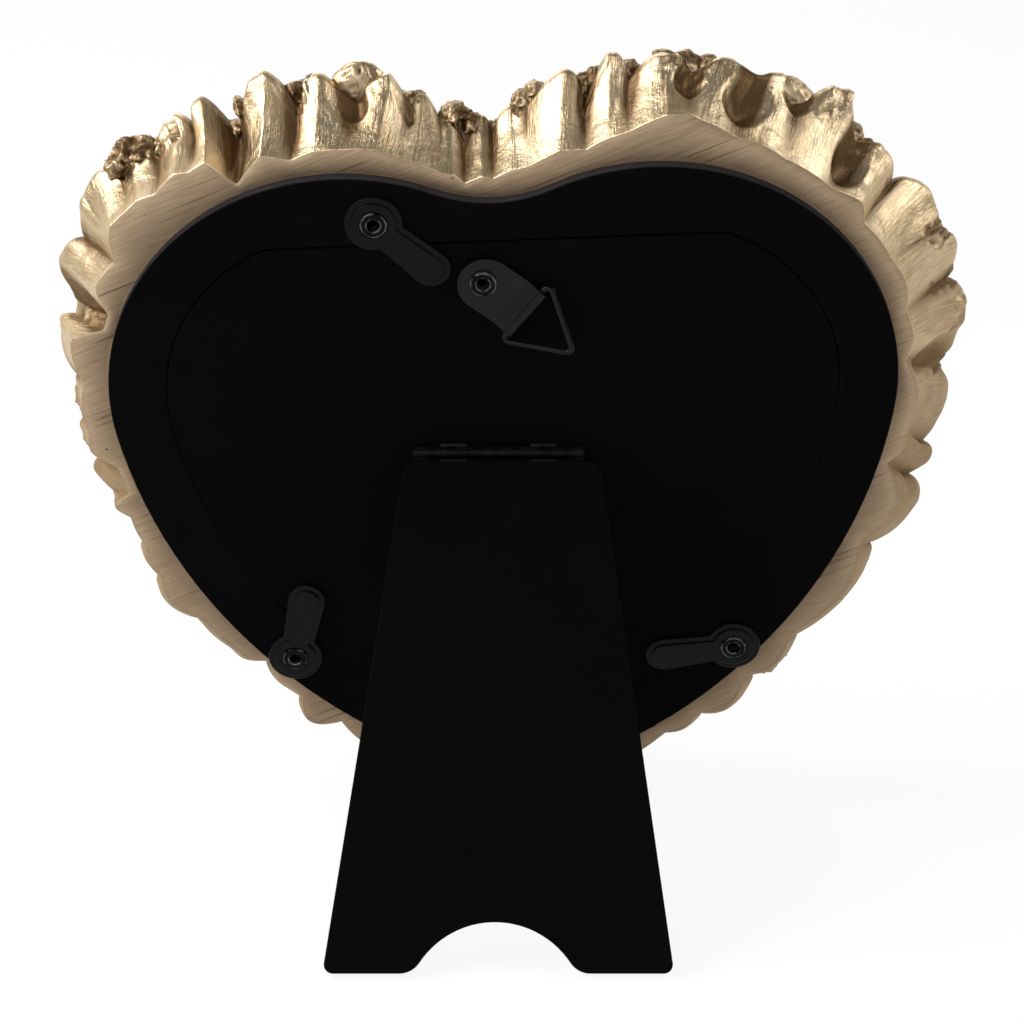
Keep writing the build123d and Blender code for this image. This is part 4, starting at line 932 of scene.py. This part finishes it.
def lamp(name, place, size, power):
    """Square soft box that faces the middle of the frame."""
    target = (0.0, 0.03, 0.1)
    light = bpy.data.lights.new(name, "AREA")
    light.size, light.energy = size, power
    made = bpy.data.objects.new(name, light)
    back = np.array(place) - np.array(target)
    back = back / np.linalg.norm(back)
    side = np.cross((0.02, 1.0, 0.0), back)
    side = side / np.linalg.norm(side)
    turned = np.eye(4)
    turned[:3, :4] = np.stack([side, np.cross(back, side), back, place], axis=1)
    made.matrix_world = Matrix(turned.tolist())
    bpy.context.scene.collection.objects.link(made)


lamp("overhead", (0.76, 0.10, 0.78), 0.7, 14.0)
lamp("right_wall", (-0.90, 0.05, 0.75), 0.7, 4.5)
lamp("camera_side", (0.3, 1.3, 0.9), 0.9, 5.0)
lamp("front_wall", (0.3, -1.0, 0.7), 0.8, 3.0)


def seen_as_background(flow):
    """Two values for the rays that show the white background: 1 for the camera's own rays, and 1 for
    those that metal mirrors or glass lets through."""
    camera_ray, glossy_ray, glass_ray = (
        flow.node("LightPath", {}, {}, "Is %s Ray" % kind) for kind in ("Camera", "Glossy", "Transmission")
    )
    return camera_ray, (glossy_ray + glass_ray).clip(0.0, 1.0)


world = bpy.data.worlds.new("studio")
bpy.context.scene.world = world
world.use_nodes = True
flow = Flow(world.node_tree)
shader = world.node_tree.nodes["Background"]
camera_ray, mirrored = seen_as_background(flow)
heading = flow.node("TexCoord", {}, {}, "Generated")
toward, upward = (flow.node("SeparateXYZ", {}, {"Vector": heading}, axis) for axis in "YZ")
backdrop = (1 - toward.clip(-0.7, -0.1)) * (1 - upward.clip(0.3, 0.8))
strength = 0.17 + 0.83 * (camera_ray + mirrored * backdrop)
shader.inputs["Color"].default_value = (1, 1, 1, 1)
feed(flow, shader, {"Strength": strength})

# White sweep. The white card that the frame stands on, lit until it is nearly lost in the background.
# It is part of the studio and not of the frame.
half = 3.0
corners = np.array([[[-half, -half, 0.0], [-half, half, 0.0]], [[half, -half, 0.0], [half, half, 0.0]]])
floor = surface("floor", corners, False, False)
sweep, flow, shader = material("white_sweep")
feed(flow, shader, {"Base Color": (0.9, 0.9, 0.9, 1), "Roughness": 0.9})
camera_ray, mirrored = seen_as_background(flow)
glow = flow.node("Emission", {}, {"Color": (1, 1, 1, 1), "Strength": 1.0})
card = Flow(flow.tree, shader.outputs[0])
mixed = flow.node("MixShader", {}, {0: (camera_ray + mirrored) * 0.9, 1: card, 2: glow})
flow.tree.links.new(mixed.socket, flow.tree.nodes["Material Output"].inputs["Surface"])
floor.data.materials.append(sweep)
